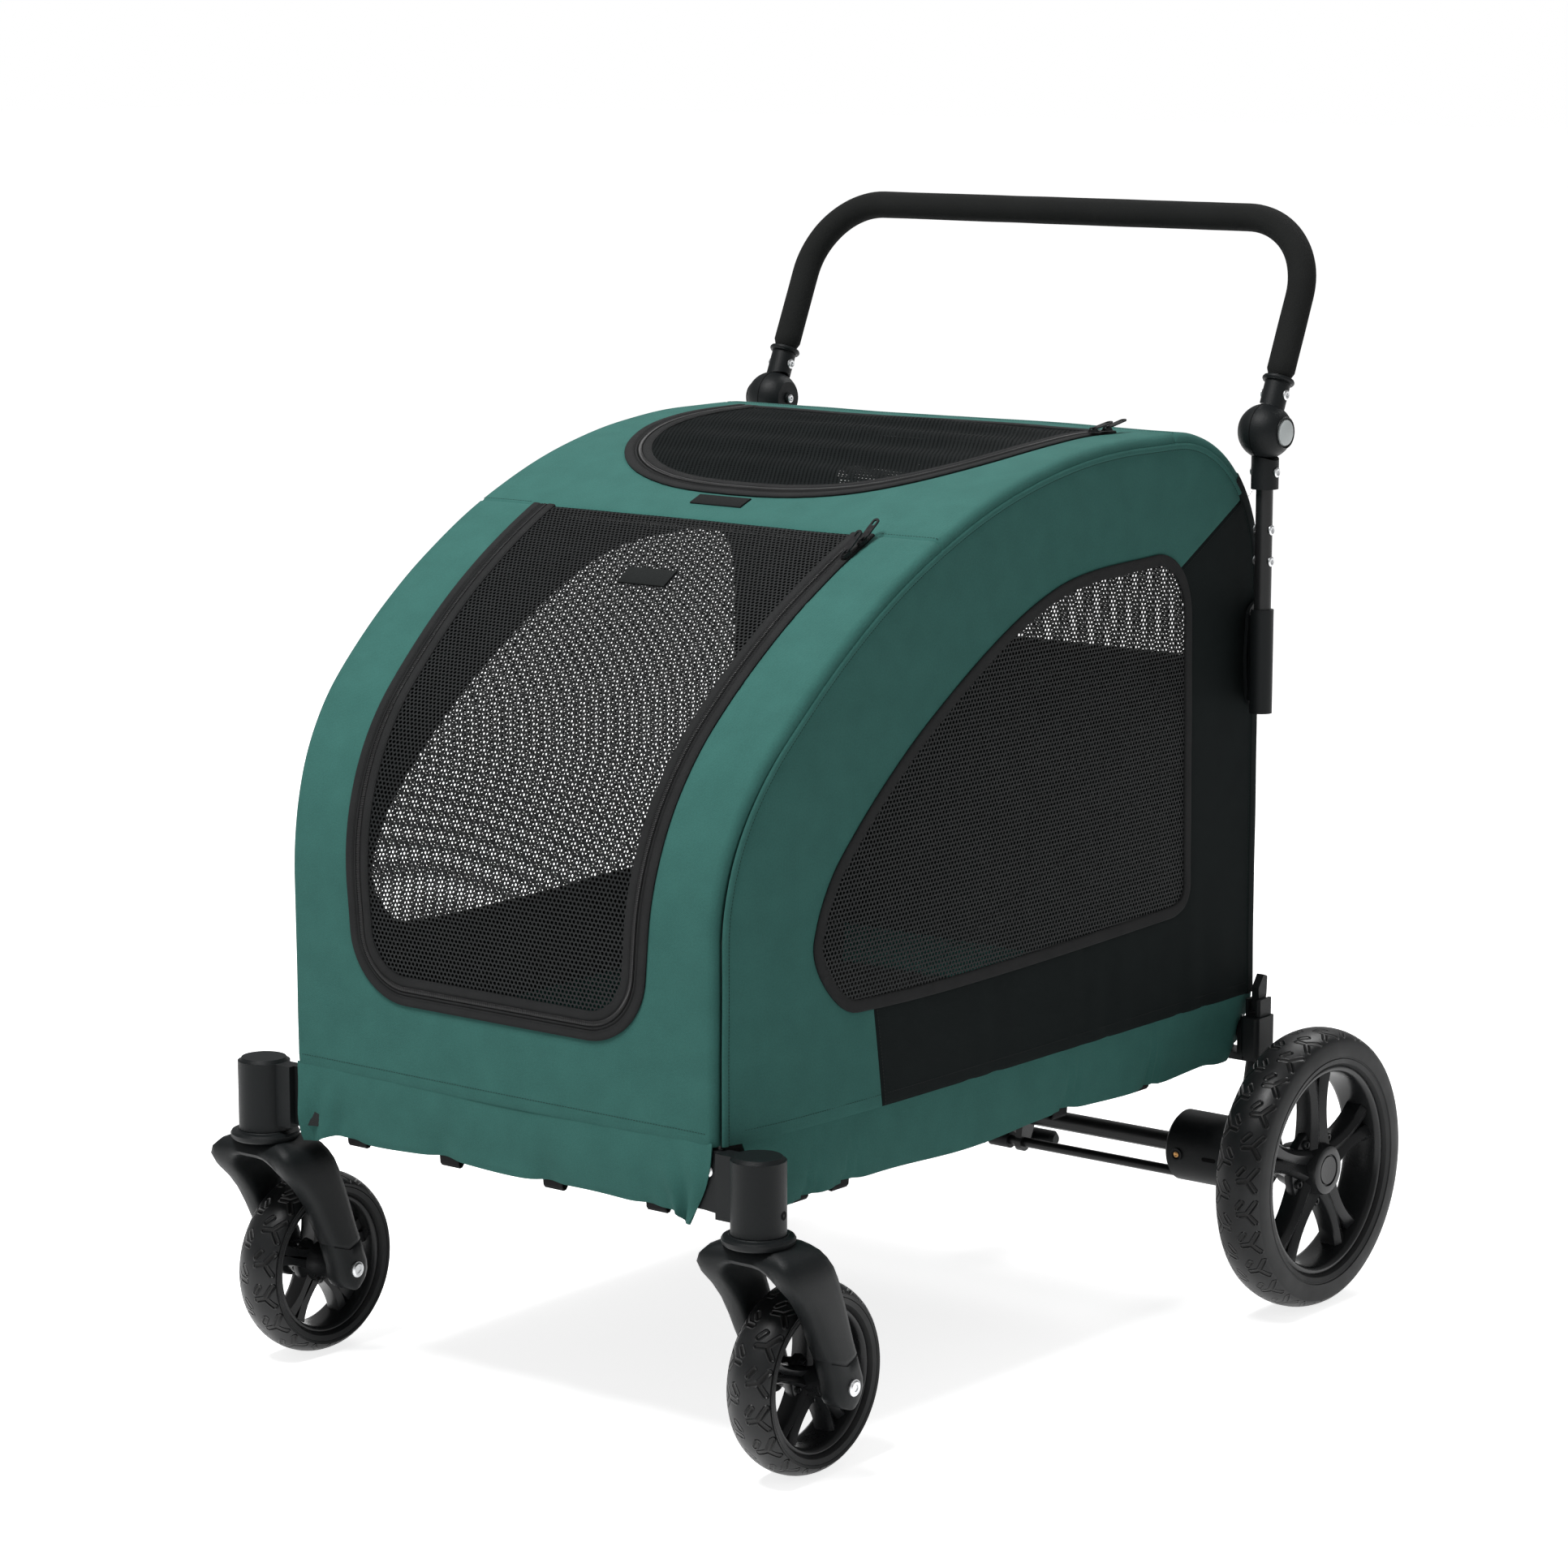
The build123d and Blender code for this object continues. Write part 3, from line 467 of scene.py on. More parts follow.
def rim(end, side, out, centre, opening, seat, half, hub_r, inner_reach, outer_reach):
    work = bmesh.new()
    lip = 0.001 + half
    section = [(half, seat), (lip, seat - 0.0015), (lip, opening + 0.0022), (lip - 0.0012, opening + 0.0005),
               (half * 0.78, opening - 0.0012), (0, opening - 0.003)]
    section = [(out * x, r) for x, r in section + [(-x, r) for x, r in reversed(section[:-1])]]
    lathe(work, section, centre, 128)
    plate = hub_r * 1.62
    hub = [(-inner_reach, 0), (-inner_reach, hub_r * 0.8), (-inner_reach * 0.45, hub_r)]
    hub += [(x, plate * share) for x, share in ((-0.004, 0.96), (0.003, 1), (0.0062, 0.97), (0.0078, 0.86))]
    hub += [(0.0086, hub_r * 1.14), (0.0094, hub_r * 1.05)]
    hub += [(outer_reach - x, hub_r * share) for x, share in cap]
    lathe(work, [(out * x, r) for x, r in hub], centre, 64, closed=False)
    for k in range(5):
        turn = radians(90 + 72 * k)
        for lean in (-1, 1):
            blade(work, centre, out, turn, lean, hub_r * 0.9, opening - 0.0022, half * 0.86)
        between = turn + radians(36)
        stud_at = on_circle(centre, out * 0.0074, plate * 0.83, between)
        added(work, rivet(stud_at, (out, 0, 0), plate * 0.115, 0.0042))
    node = f"{end}_rim_{side}"
    built(work, f"{node}_moulding", satin, f"{end}_wheel_{side}", "black_plastic", node)


for side, q in sides:
    rear_centre, front_centre = (q * rear_x, axle_y, rear_r), (q * caster_x, wheel_y, front_r)
    rim("rear", side, q, rear_centre, 0.1055, rear_seat, 0.022, 0.0270, 0.029, 0.0250)
    rim("front", side, q, front_centre, 0.0675, front_seat, 0.020, 0.0165, 0.0295, 0.0295)


# ---- Caster forks ---------------------------------------------------------------------
# One nylon moulding each: a round seat under the housing, shoulders that sweep out and back,
# and two arms with a shallow bent groove across them, whose round feet hold the axle.

fork_side = [(0.241, -0.4985, -0.446), (0.2385, -0.5015, -0.4445), (0.2335, -0.5085, -0.4415),
             (0.226, -0.5125, -0.438), (0.216, -0.5095, -0.4335), (0.205, -0.5, -0.4295),
             (0.188, -0.4805, -0.4232), (0.168, -0.466, -0.4155), (0.148, -0.4565, -0.4085),
             (0.1285, -0.447, -0.4018), (0.1185, -0.4432, -0.3985), (0.1, -0.4355, -0.3912),
             (0.0935, -0.4345, -0.3905)]


def fork_edges(z):
    for (z0, f0, r0), (z1, f1, r1) in zip(fork_side, fork_side[1:]):
        if z >= z1:
            t = (z0 - z) / (z0 - z1)
            return f0 + (f1 - f0) * t, r0 + (r1 - r0) * t
    half = sqrt(max(0.022 ** 2 - (z - front_r) ** 2, 1e-8))
    return wheel_y - half, wheel_y + half


fork_rows = [(0.0, 0.241, 0.0, 0.2215), (0.014, 0.2412, 0.011, 0.2215), (0.026, 0.2408, 0.019, 0.2205),
             (0.036, 0.2385, 0.0245, 0.2175), (0.0455, 0.2345, 0.0285, 0.2125),
             (0.0525, 0.228, 0.0308, 0.206), (0.0572, 0.219, 0.0316, 0.198),
             (0.0588, 0.207, 0.0316, 0.1885), (0.0585, 0.192, 0.0316, 0.1785),
             (0.0578, 0.175, 0.0316, 0.166), (0.057, 0.156, 0.0316, 0.1515),
             (0.0566, 0.139, 0.0316, 0.137), (0.0565, 0.1262, 0.0316, 0.1255),
             (0.0565, 0.1228, 0.0316, 0.1225), (0.0557, 0.1221, 0.0318, 0.1218),
             (0.0557, 0.1209, 0.0318, 0.1206), (0.0566, 0.1202, 0.0316, 0.1198),
             (0.0569, 0.11, 0.0316, 0.109), (0.0571, 0.1, 0.0316, 0.1), (0.0571, 0.0915, 0.0316, 0.0915),
             (0.0569, 0.0835, 0.0316, 0.0835), (0.0566, 0.078, 0.0317, 0.078),
             (0.0562, 0.0742, 0.032, 0.0742), (0.0558, 0.0729, 0.0325, 0.0729)]
ring_corner = [(1, 0.0), (0.97, 0.52), (0.86, 0.86), (0.62, 0.985)]
ring_shape = ring_corner + [(0.3, 1.0), (0, 1.0), (-0.3, 1.0)] + [(-u, v) for u, v in reversed(ring_corner)]
ring_shape += [(u, -v) for u, v in reversed(ring_shape[1:-1])]


def fork(side, q):
    centre_x = q * caster_x
    work = bmesh.new()
    rows = []
    for arm, stations in ((-1, reversed(fork_rows)), (1, fork_rows[1:])):
        for outer_x, outer_z, inner_x, inner_z in stations:
            outer_f, outer_r = fork_edges(outer_z)
            inner_f, inner_r = fork_edges(inner_z)
            middle_o, half_o = (outer_f + outer_r) / 2, (outer_r - outer_f) / 2
            middle_i, half_i = (inner_f + inner_r) / 2, (inner_r - inner_f) / 2
            if 0.1208 < outer_z < 0.1222:
                half_i *= 0.96
            row = []
            for u, v in ring_shape:
                share = (v + 1) / 2
                bulge = 0.0022 * max(0, v) * (1 - u * u) if outer_z < 0.235 else 0
                chevron = 0.0075 * (abs(u) - 0.5) * max(0.0, 1 - abs(outer_z - 0.1215) / 0.018)
                x = inner_x + (outer_x + bulge - inner_x) * share
                y = (middle_i + u * half_i) * (1 - share) + (middle_o + u * half_o) * share
                z = inner_z + (outer_z - inner_z) * share + chevron
                row.append(work.verts.new((centre_x + arm * x, y, z)))
            rows.append(row)
    skinned(work, rows)
    mesh = as_mesh(work, f"fork_{side}", nylon, angle=50)
    finished(f"fork_{side}", mesh, f"caster_{side}", "black_plastic", f"caster_fork_{side}")


seat_profile = [(0.2385, 0), (0.2385, 0.0325), (0.2405, 0.0346), (0.2445, 0.0352), (0.2468, 0.0338),
                (0.2476, 0.031), (0.2478, 0.0285), (0.2484, 0.028), (0.2486, 0.024), (0.2486, 0)]
x_to_z = Matrix(((0, 1, 0, 0), (0, 0, 1, 0), (1, 0, 0, 0), (0, 0, 0, 1)))
for side, q in sides:
    fork(side, q)
    seat = bmesh.new()
    lathe(seat, seat_profile, (0, 0, 0), 72, closed=False)
    upright = Matrix.Translation((q * caster_x, caster_y, 0)) @ x_to_z
    bmesh.ops.transform(seat, matrix=upright, verts=seat.verts)
    built(seat, f"fork_seat_{side}", nylon, f"caster_{side}", "black_plastic")
    rivets(f"axle_bolts_{side}", f"caster_{side}", [
        ((q * caster_x + arm * 0.0588, wheel_y, front_r), (arm, 0, 0), 0.0082, 0.0034) for arm in (-1, 1)
    ])


# ---- Cabin cloth ----------------------------------------------------------------------
# Polyester canvas, cut flat and sewn into a band that runs over the arch and a panel on each
# side. The band is laid out as (across, along the arch), and each side as (y, z).

front_y, rear_y, hem_z, seam_z, top_z = -0.487, 0.399, 0.252, 0.322, 0.93699
front_rise = 0.258
low_arc, high_arc, rear_arc = (-0.217, 0.510, 0.270), (0.16201, 0.13099, 0.806), (0.234, 0.77199, 0.165)


def arch_at(s):
    """Point and outward direction of the side outline, s metres along it from the front hem."""
    if s <= front_rise:
        return front_y, hem_z + s, -1.0, 0.0
    s -= front_rise
    for (y, z, r), start, sweep in ((low_arc, pi, pi / 4), (high_arc, 0.75 * pi, pi / 4)):
        if s <= r * sweep:
            a = start - s / r
            return y + r * cos(a), z + r * sin(a), cos(a), sin(a)
        s -= r * sweep
    if s <= rear_arc[0] - high_arc[0]:
        return high_arc[0] + s, top_z, 0.0, 1.0
    s -= rear_arc[0] - high_arc[0]
    if s <= rear_arc[2] * pi / 2:
        a = pi / 2 - s / rear_arc[2]
        return rear_arc[0] + rear_arc[2] * cos(a), rear_arc[1] + rear_arc[2] * sin(a), cos(a), sin(a)
    return rear_y, rear_arc[1] - (s - rear_arc[2] * pi / 2), 1.0, 0.0


arch_s = np.linspace(0, 1.9543, 1500)
arch_y, arch_z = np.array([arch_at(s)[:2] for s in arch_s]).T
rising, falling = arch_s < 1.1, arch_s > 1.2


def s_at_y(y):
    return float(np.interp(y, arch_y[arch_s > 0.3], arch_s[arch_s > 0.3]))


def s_at_z(z):
    return float(np.interp(z, arch_z[rising], arch_s[rising]))


def s_behind(z):
    return float(np.interp(z, arch_z[falling][::-1], arch_s[falling][::-1]))


plan_y = np.array([-0.487, -0.430, -0.300, -0.060, 0.399])
plan_x = np.array([0.271, 0.285, 0.294, 0.299, 0.300])
plan_slope = np.array([0.36, 0.155, 0.040, 0.0075, 0.0])


def shares(t):
    """What each end of a smooth curve, and each end's slope, counts for at t from 0 to 1."""
    return 2 * t ** 3 - 3 * t ** 2 + 1, 3 * t ** 2 - 2 * t ** 3, t ** 3 - 2 * t ** 2 + t, t ** 3 - t ** 2


def half_width(y):
    """Half the cabin's width at y, a smooth curve through the plan's points."""
    i = int(np.clip(np.searchsorted(plan_y, y) - 1, 0, 3))
    run = plan_y[i + 1] - plan_y[i]
    t = min(max((y - plan_y[i]) / run, 0.0), 1.0)
    first, last, first_slope, last_slope = shares(t)
    ends = first * plan_x[i] + first_slope * run * plan_slope[i] + last * plan_x[i + 1]
    return float(ends + last_slope * run * plan_slope[i + 1])


edge_r, seam_in = 0.008, 0.014


def on_band(u, s, lift=0.0):
    """Point on the band, and its outward direction. Past the corner it turns down the side."""
    y, z, ny, nz = arch_at(s)
    width, sign = half_width(y), 1 if u >= 0 else -1
    past = abs(u) - (width - edge_r)
    if past <= 0:
        x, inset, nx, face = u, 0.0, 0.0, 1.0
    elif past <= edge_r * pi / 2:
        t = past / edge_r
        x, inset = sign * (width - edge_r + edge_r * sin(t)), edge_r * (1 - cos(t))
        nx, face = sign * sin(t), cos(t)
    else:
        x, inset, nx, face = sign * width, edge_r + past - edge_r * pi / 2, float(sign), 0.0
    out = Vector((nx, ny * face, nz * face))
    return Vector((x, y - ny * inset, z - nz * inset)) + out * lift, out


def on_side(q):
    def place(y, z, lift=0.0):
        return Vector((q * (half_width(y) + lift), y, z)), Vector((q, 0, 0))
    return place


def band_reach(s):
    return half_width(arch_at(s)[0]) - edge_r + edge_r * pi / 2 + seam_in - edge_r


def rounded(corners, radius, closed=False):
    """A polyline through the corners with each rounded to the radius, in steps of about 7 mm."""
    points, count = [], len(corners)
    for i, corner in enumerate(corners):
        here = Vector(corner)
        if not closed and i in (0, count - 1):
            points.append(here)
            continue
        before, after = Vector(corners[i - 1]) - here, Vector(corners[(i + 1) % count]) - here
        angle = before.angle(after)
        cut_back = radius / max(sin(angle / 2) / cos(angle / 2), 1e-6)
        cut_back = min(cut_back, before.length * 0.49, after.length * 0.49)
        start, end = here + before.normalized() * cut_back, here + after.normalized() * cut_back
        bulge = (before.normalized() + after.normalized()).normalized()
        r = cut_back * sin(angle / 2) / cos(angle / 2)
        centre = here + bulge * (r / sin(angle / 2))
        a, b = start - centre, end - centre
        turn = a.angle_signed(b)
        steps = max(2, ceil(abs(turn) * r / 0.006))
        for k in range(steps + 1):
            points.append(centre + Matrix.Rotation(-turn * k / steps, 2) @ a)
    return even(points, 0.007, closed)


def even(points, step, closed):
    """The same line with long straight runs divided into steps."""
    out = []
    pairs = zip(points, points[1:] + points[:1]) if closed else zip(points, points[1:])
    for a, b in pairs:
        n = max(1, round((b - a).length / step))
        out += [a.lerp(b, k / n) for k in range(n)]
    return out if closed else out + [points[-1]]


def straight(a, b, step=0.008):
    return even([Vector(a), Vector(b)], step, False)


def shifted(points, distance, closed=True):
    """The line moved sideways in its plane, to the left of its direction."""
    moved, count = [], len(points)
    for i, here in enumerate(points):
        before = points[i - 1] if closed or i else here
        after = points[(i + 1) % count] if closed or i < count - 1 else here
        way = (after - before).normalized()
        moved.append(here + Vector((-way.y, way.x)) * distance)
    return moved


foot_left = [(-0.222, 0.900), (-0.196, 0.560), (-0.184, 0.405)]
door_foot = rounded(foot_left + [(-x, z) for x, z in reversed(foot_left)], 0.072)
door_seam, rear_seam, hem_s, rear_hem_s = s_at_y(-0.175), s_at_y(0.229), 0.070, s_behind(seam_z)
door_line = [Vector((p.x, s_at_z(p.y))) for p in door_foot]
door_line = [p for p in door_line if p.y < door_seam - 0.003]
door_top_left = Vector((door_line[0].x - 0.0003, door_seam))
door_top_right = Vector((door_line[-1].x + 0.0003, door_seam))
door_line = [door_top_left, *door_line, door_top_right]
flap_x, flap_y, flap_reach = 0.248, 0.120, 0.2455
flap_line = [Vector((-flap_x, 0.196))]
for turn in np.linspace(0.0, pi, 41):
    x = -flap_x * abs(cos(turn)) ** 0.8 * (1 if turn < pi / 2 else -1)
    flap_line.append(Vector((x, flap_y - flap_reach * sin(turn) ** 0.8)))
flap_line.append(Vector((flap_x, 0.196)))
flap_line = [Vector((p.x, s_at_y(p.y))) for p in even(flap_line, 0.007, False)]
flap_loop = flap_line + straight(flap_line[-1], flap_line[0])[1:-1]
rear_line = rounded([(-0.268, 0.868), (-0.268, 0.668), (0.268, 0.668), (0.268, 0.868)], 0.030, True)
rear_loop = [Vector((p.x, s_behind(p.y))) for p in rear_line]
slope = [(-0.298, 0.423), (-0.342, 0.452), (-0.360, 0.498), (-0.320, 0.575), (-0.175, 0.697), (0.016, 0.795)]
brow = [(0.198, 0.813), (0.226, 0.8065), (0.2465, 0.790), (0.258, 0.768), (0.262, 0.742), (0.268, 0.464)]
brow += [(0.2655, 0.449), (0.256, 0.437), (0.232, 0.430)]


def flowing(corners, count=14):
    """A smooth closed line through the corners."""
    n, out = len(corners), []
    for i in range(n):
        p = [Vector(corners[(i + k) % n]) for k in (-1, 0, 1, 2)]
        span = (p[2] - p[1]).length
        m1 = (p[2] - p[0]) * (span / ((p[2] - p[1]).length + (p[1] - p[0]).length))
        m2 = (p[3] - p[1]) * (span / ((p[3] - p[2]).length + (p[2] - p[1]).length))
        for k in range(count):
            first, last, first_slope, last_slope = shares(k / count)
            out.append(first * p[1] + first_slope * m1 + last * p[2] + last_slope * m2)
    spaced, last = [out[0]], out[0]
    for p in out[1:]:
        if (p - last).length > 0.0055:
            spaced.append(p)
            last = p
    return spaced


window_loop = even(flowing(slope + brow), 0.008, True)
black_line = [(-0.258, 0.300), (-0.258, 0.322), (-0.272, 0.425), (0.265, 0.600), (0.242, 0.795)]
black_line = [Vector(p) for p in black_line + [(0.372, 0.866), (0.404, 0.893), (0.43, 0.893), (0.43, 0.300)]]
black_cut = even(black_line[1:7], 0.008, False)
side_edge = []
for s in np.arange(hem_s, rear_hem_s + 0.004, 0.008):
    y, z, ny, nz = arch_at(float(s))
    side_edge.append(Vector((y - ny * seam_in, z - nz * seam_in)))
side_edge[0].y = side_edge[-1].y = seam_z
side_loop = side_edge + straight(side_edge[-1], side_edge[0])[1:-1]


def band_corner(s, sign):
    return Vector((sign * band_reach(float(s)), float(s)))


band_loop = straight(band_corner(hem_s, -1), band_corner(hem_s, 1))
band_loop += [band_corner(s, 1) for s in np.arange(hem_s + 0.008, rear_hem_s - 0.004, 0.008)]
band_loop += straight(band_corner(rear_hem_s, 1), band_corner(rear_hem_s, -1))
band_loop += [band_corner(s, -1) for s in np.arange(rear_hem_s - 0.008, hem_s + 0.004, -0.008)]


def within(points, loop):
    """Which of the points lie inside the closed line."""
    points, loop = np.atleast_2d(points), np.array([tuple(p) for p in loop])
    a, b = loop, np.roll(loop, -1, axis=0)
    x, y = points[:, :1], points[:, 1:2]
    crosses = (a[:, 1] > y) != (b[:, 1] > y)
    with np.errstate(divide="ignore", invalid="ignore"):
        at = a[:, 0] + (y - a[:, 1]) * (b[:, 0] - a[:, 0]) / (b[:, 1] - a[:, 1])
    return (crosses & (x < at)).sum(axis=1) % 2 == 1


def laid_out(outer, lines, rows=(), step=0.0095, keep=None):
    """Cuts the flat cloth inside the outer loop into triangles that follow every line drawn on it."""
    points, edges, drawn = [], [], [(outer, True)] + lines
    for line, closed in drawn:
        start = len(points)
        points += list(line)
        edges += [(start + k, start + k + 1) for k in range(len(line) - 1)]
        if closed:
            edges.append((start + len(line) - 1, start))
    fixed = np.array([tuple(p) for p in points])
    beside = []
    for line, closed in drawn:
        beside += [tuple(p) for d in (-0.0035, 0.0035) for p in shifted(line, d, closed)]
    low, high = fixed.min(axis=0), fixed.max(axis=0)
    columns, tiers = int((high[0] - low[0]) / step) + 1, int((high[1] - low[1]) / step / 0.866) + 1
    grid = [(low[0] + (i + 0.5 * (j % 2)) * step, low[1] + j * step * 0.866)
            for j in range(tiers) for i in range(columns)]
    if keep:
        grid = [p for p in grid if keep(*p)]
    more = []
    for batch, gap in ((beside, 0.0024), (list(rows), 0.003), (grid, 0.0062)):
        if not batch:
            continue
        new = np.array(batch)
        new = new[within(new, outer)]
        have = np.vstack([fixed] + more)
        near = np.full(len(new), 1e9)
        for k in range(0, len(have), 400):
            gaps = np.hypot(new[:, :1] - have[None, k:k + 400, 0], new[:, 1:] - have[None, k:k + 400, 1])
            near = np.minimum(near, gaps.min(axis=1))
        more.append(new[near > gap])
    everything = [Vector(p) for p in np.vstack([fixed] + more)]
    verts, _, faces, *_ = delaunay_2d_cdt(everything, edges, [], 0, 1e-6)
    corners = np.array([tuple(v) for v in verts])
    faces = [f for f in faces if len(f) == 3]
    middles = np.array([corners[list(f)].mean(axis=0) for f in faces])
    inside = within(middles, outer)
    return corners, [f for f, ok in zip(faces, inside) if ok], middles[inside]


def drape(p, depth=0.0016):
    return noise.noise(p * 4.3) * depth + noise.noise(p * 15 + Vector((7, 3, 1))) * depth * 0.3


def sewn(name, corners, faces, chosen, place, look, body, node, relief, tuck=0.0011):
    """One cut piece of cloth in its place: closed, with its raw edges turned in at the seams."""
    thickness, finishes, slot_name = look
    faces = [f for f, ok in zip(faces, chosen) if ok]
    used = sorted({i for f in faces for i in f})
    index = {v: k for k, v in enumerate(used)}
    counted = {}
    for f in faces:
        for a, b in zip(f, f[1:] + f[:1]):
            counted.setdefault((min(a, b), max(a, b)), []).append((a, b))
    rim_edges = [pair[0] for pair in counted.values() if len(pair) == 1]
    on_rim = {v for pair in rim_edges for v in pair}
    work = bmesh.new()
    cut_map = work.loops.layers.uv.new("cut")
    outside, inside = [], []
    for v in used:
        a, b = corners[v]
        base, _ = place(a, b)
        lift = relief(base) - (tuck if v in on_rim else 0.0)
        outside.append(work.verts.new(place(a, b, lift)[0]))
        inside.append(work.verts.new(place(a, b, lift - thickness)[0]))

    def add(ring, keys, material):
        try:
            face = work.faces.new(ring)
        except ValueError:
            return
        face.material_index = material
        for corner, v in zip(face.loops, keys):
            corner[cut_map].uv = corners[v]

    lining = len(finishes) - 1
    for f in faces:
        add([outside[index[v]] for v in f], f, 0)
        back = tuple(reversed(f))
        add([inside[index[v]] for v in back], back, lining)
    for a, b in rim_edges:
        add([outside[index[b]], outside[index[a]], inside[index[a]], inside[index[b]]], (b, a, a, b), 0)
    for f in faces:
        (ax, ay), (bx, by), (cx, cy) = (corners[v] for v in f)
    span = np.ptp(corners[used], axis=0)
    piece = finished(name, as_mesh(work, name, *finishes, angle=60, weld=False), body, slot_name, node)
    # The green side cloth covers only 0.286 of it, so its area is stated about 5% too
    # large, as 0.302.
    return crushed(piece)


def crushed(piece):
    """Gives the piece its own copy of its mesh, and returns it."""
    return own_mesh(piece)


def on_the_cut(finish, map_name="cut"):
    """The flat map of a cut piece: the map itself, across it, and along it."""
    flat_map = finish.node("ShaderNodeUVMap", {"uv_map": map_name})
    first = finish.node("ShaderNodeSeparateXYZ", Vector=flat_map)
    return flat_map, first, Wire(finish.tree, first.socket.node.outputs[1])


def mottle(finish, flat_map, **values):
    return finish.node("ShaderNodeTexNoise", {"noise_dimensions": "2D"}, Vector=flat_map, **values)


def canvas(name, pale, deep, weave=0.00035, shine=0.2):
    """Woven cloth: fine flecks, soft clouds, and a warp and weft 1.3 mm apart."""
    finish = Finish(name, Specular_IOR_Level=shine)
    flat_map, split, second = on_the_cut(finish)
    fleck = mottle(finish, flat_map, Scale=520.0, Detail=2.0, Roughness=0.6)
    cloud = mottle(finish, flat_map, Scale=26.0, Detail=4.0, Roughness=0.55)
    warp, weft = (split * (2 * pi / 0.0013)).sine(), (second * (2 * pi / 0.0013)).sine()
    threads = warp * weft
    share = (fleck * 0.55 + cloud * 0.45 + threads * 0.05).held()
    finish.set(Base_Color=finish.blend(finish.ramp(share, 0.32, 0.68), deep, pale),
               Roughness=fleck * 0.12 + 0.78)
    finish.relief(threads * 0.5 + fleck * 0.6 + cloud * 0.5, weave)
    return finish


green = canvas("green_canvas", (0.040, 0.142, 0.124), (0.0305, 0.114, 0.099))
black = canvas("black_canvas", (0.0066, 0.0100, 0.0101), (0.0046, 0.0071, 0.0073), shine=0.1)
lining = canvas("inner_lining", (0.016, 0.026, 0.024), (0.010, 0.017, 0.016))


def netting(name, pitch, open_r, tone, shine):
    """Knitted mesh with round holes in staggered rows; the holes let the light through."""
    finish = Finish(name, Specular_IOR_Level=shine)
    flat_map, split, second = on_the_cut(finish)
    rise = pitch * 0.866

    def nearest(shift_x, shift_y):
        x = ((split + shift_x) / pitch).fract() - 0.5
        y = ((second + shift_y) / (2 * rise)).fract() - 0.5
        x, y = x * pitch, y * (2 * rise)
        return (x * x + y * y).root()

    gap = nearest(0.0, 0.0).least(nearest(pitch / 2, rise))
    solid = finish.ramp(gap, open_r - 0.0002, open_r + 0.0002)
    knit = mottle(finish, flat_map, Scale=30.0, Detail=3.0)
    finish.set(Base_Color=finish.blend(knit, tuple(c * 0.75 for c in tone), tuple(c * 1.25 for c in tone)),
               Roughness=0.62, Alpha=solid)
    finish.relief(solid * 1.0, 0.0004)
    finish.material.use_transparency_overlap = True
    return finish


net = netting("open_net", 0.0050, 0.00162, (0.0075, 0.0085, 0.0090), 0.2)
dense_net = netting("dense_net", 0.0050, 0.00115, (0.0070, 0.0086, 0.0088), 0.03)

corner_rows = [(sign * (half_width(arch_at(float(s))[0]) - edge_r + edge_r * turn), float(s))
               for s in np.arange(hem_s + 0.004, rear_hem_s - 0.002, 0.008) for sign in (-1, 1)
               for turn in (0.0, 0.55, 1.1, pi / 2)]


def across_band(s):
    reach = band_reach(s) * 0.9999
    return [Vector((u, s)) for u in np.linspace(-reach, reach, 72)]


def on_flat(u, s):
    """Whether the spot is on the flat of the band, away from its rolled corners."""
    return abs(u) < half_width(arch_at(min(max(s, 0.0), 1.95))[0]) - edge_r - 0.005


band_lines = [(across_band(door_seam), False), (across_band(rear_seam), False), (door_line, False)]
band_lines += [(flap_loop, True), (rear_loop, True)]
points, faces, middles = laid_out(band_loop, band_lines, corner_rows, keep=on_flat)
in_door, in_flap, in_rear = (within(middles, loop) for loop in (door_line, flap_loop, rear_loop))
at_s = middles[:, 1]
in_front, behind_top = at_s < door_seam, at_s > rear_seam
canvas_thick, net_thick = 0.0012, 0.0005
cloth_look, net_look = (canvas_thick, (green, lining), "green_fabric"), (net_thick, (net,), "mesh")


def wrinkled(p):
    """The top flap's net lies a little slack, in cross folds that fade out at the tape."""
    slack = max(0.0, 1 - (p.x ** 2 + (p.y - 0.08) ** 2) / 0.0576)
    folds = sin(p.y * 85 + 26 * p.x * p.x + 3 * noise.noise(p * 5)) * (0.55 + noise.noise(p * 3.1))
    return drape(p, 0.002) + 0.0034 * slack * folds


for name, chosen, body, node, look, relief in (
    ("front_panel_cloth", ~in_door & in_front, "base", "front_panel", cloth_look, drape),
    ("door_net", in_door & in_front, "door", "mesh_door", net_look, drape),
    ("top_panel_cloth", ~in_flap & ~in_front & (at_s < rear_seam), "base", "top_panel", cloth_look, drape),
    ("top_flap_net", in_flap, "top_flap", "mesh_top_flap", (net_thick, (dense_net,), "mesh"), wrinkled),
    ("rear_panel_cloth", ~in_rear & behind_top, "base", "rear_panel", cloth_look, drape),
    ("rear_window_net", in_rear, "base", "mesh_rear_window", net_look, drape),
):
    sewn(name, points, faces, chosen, on_band, look, body, node, relief)

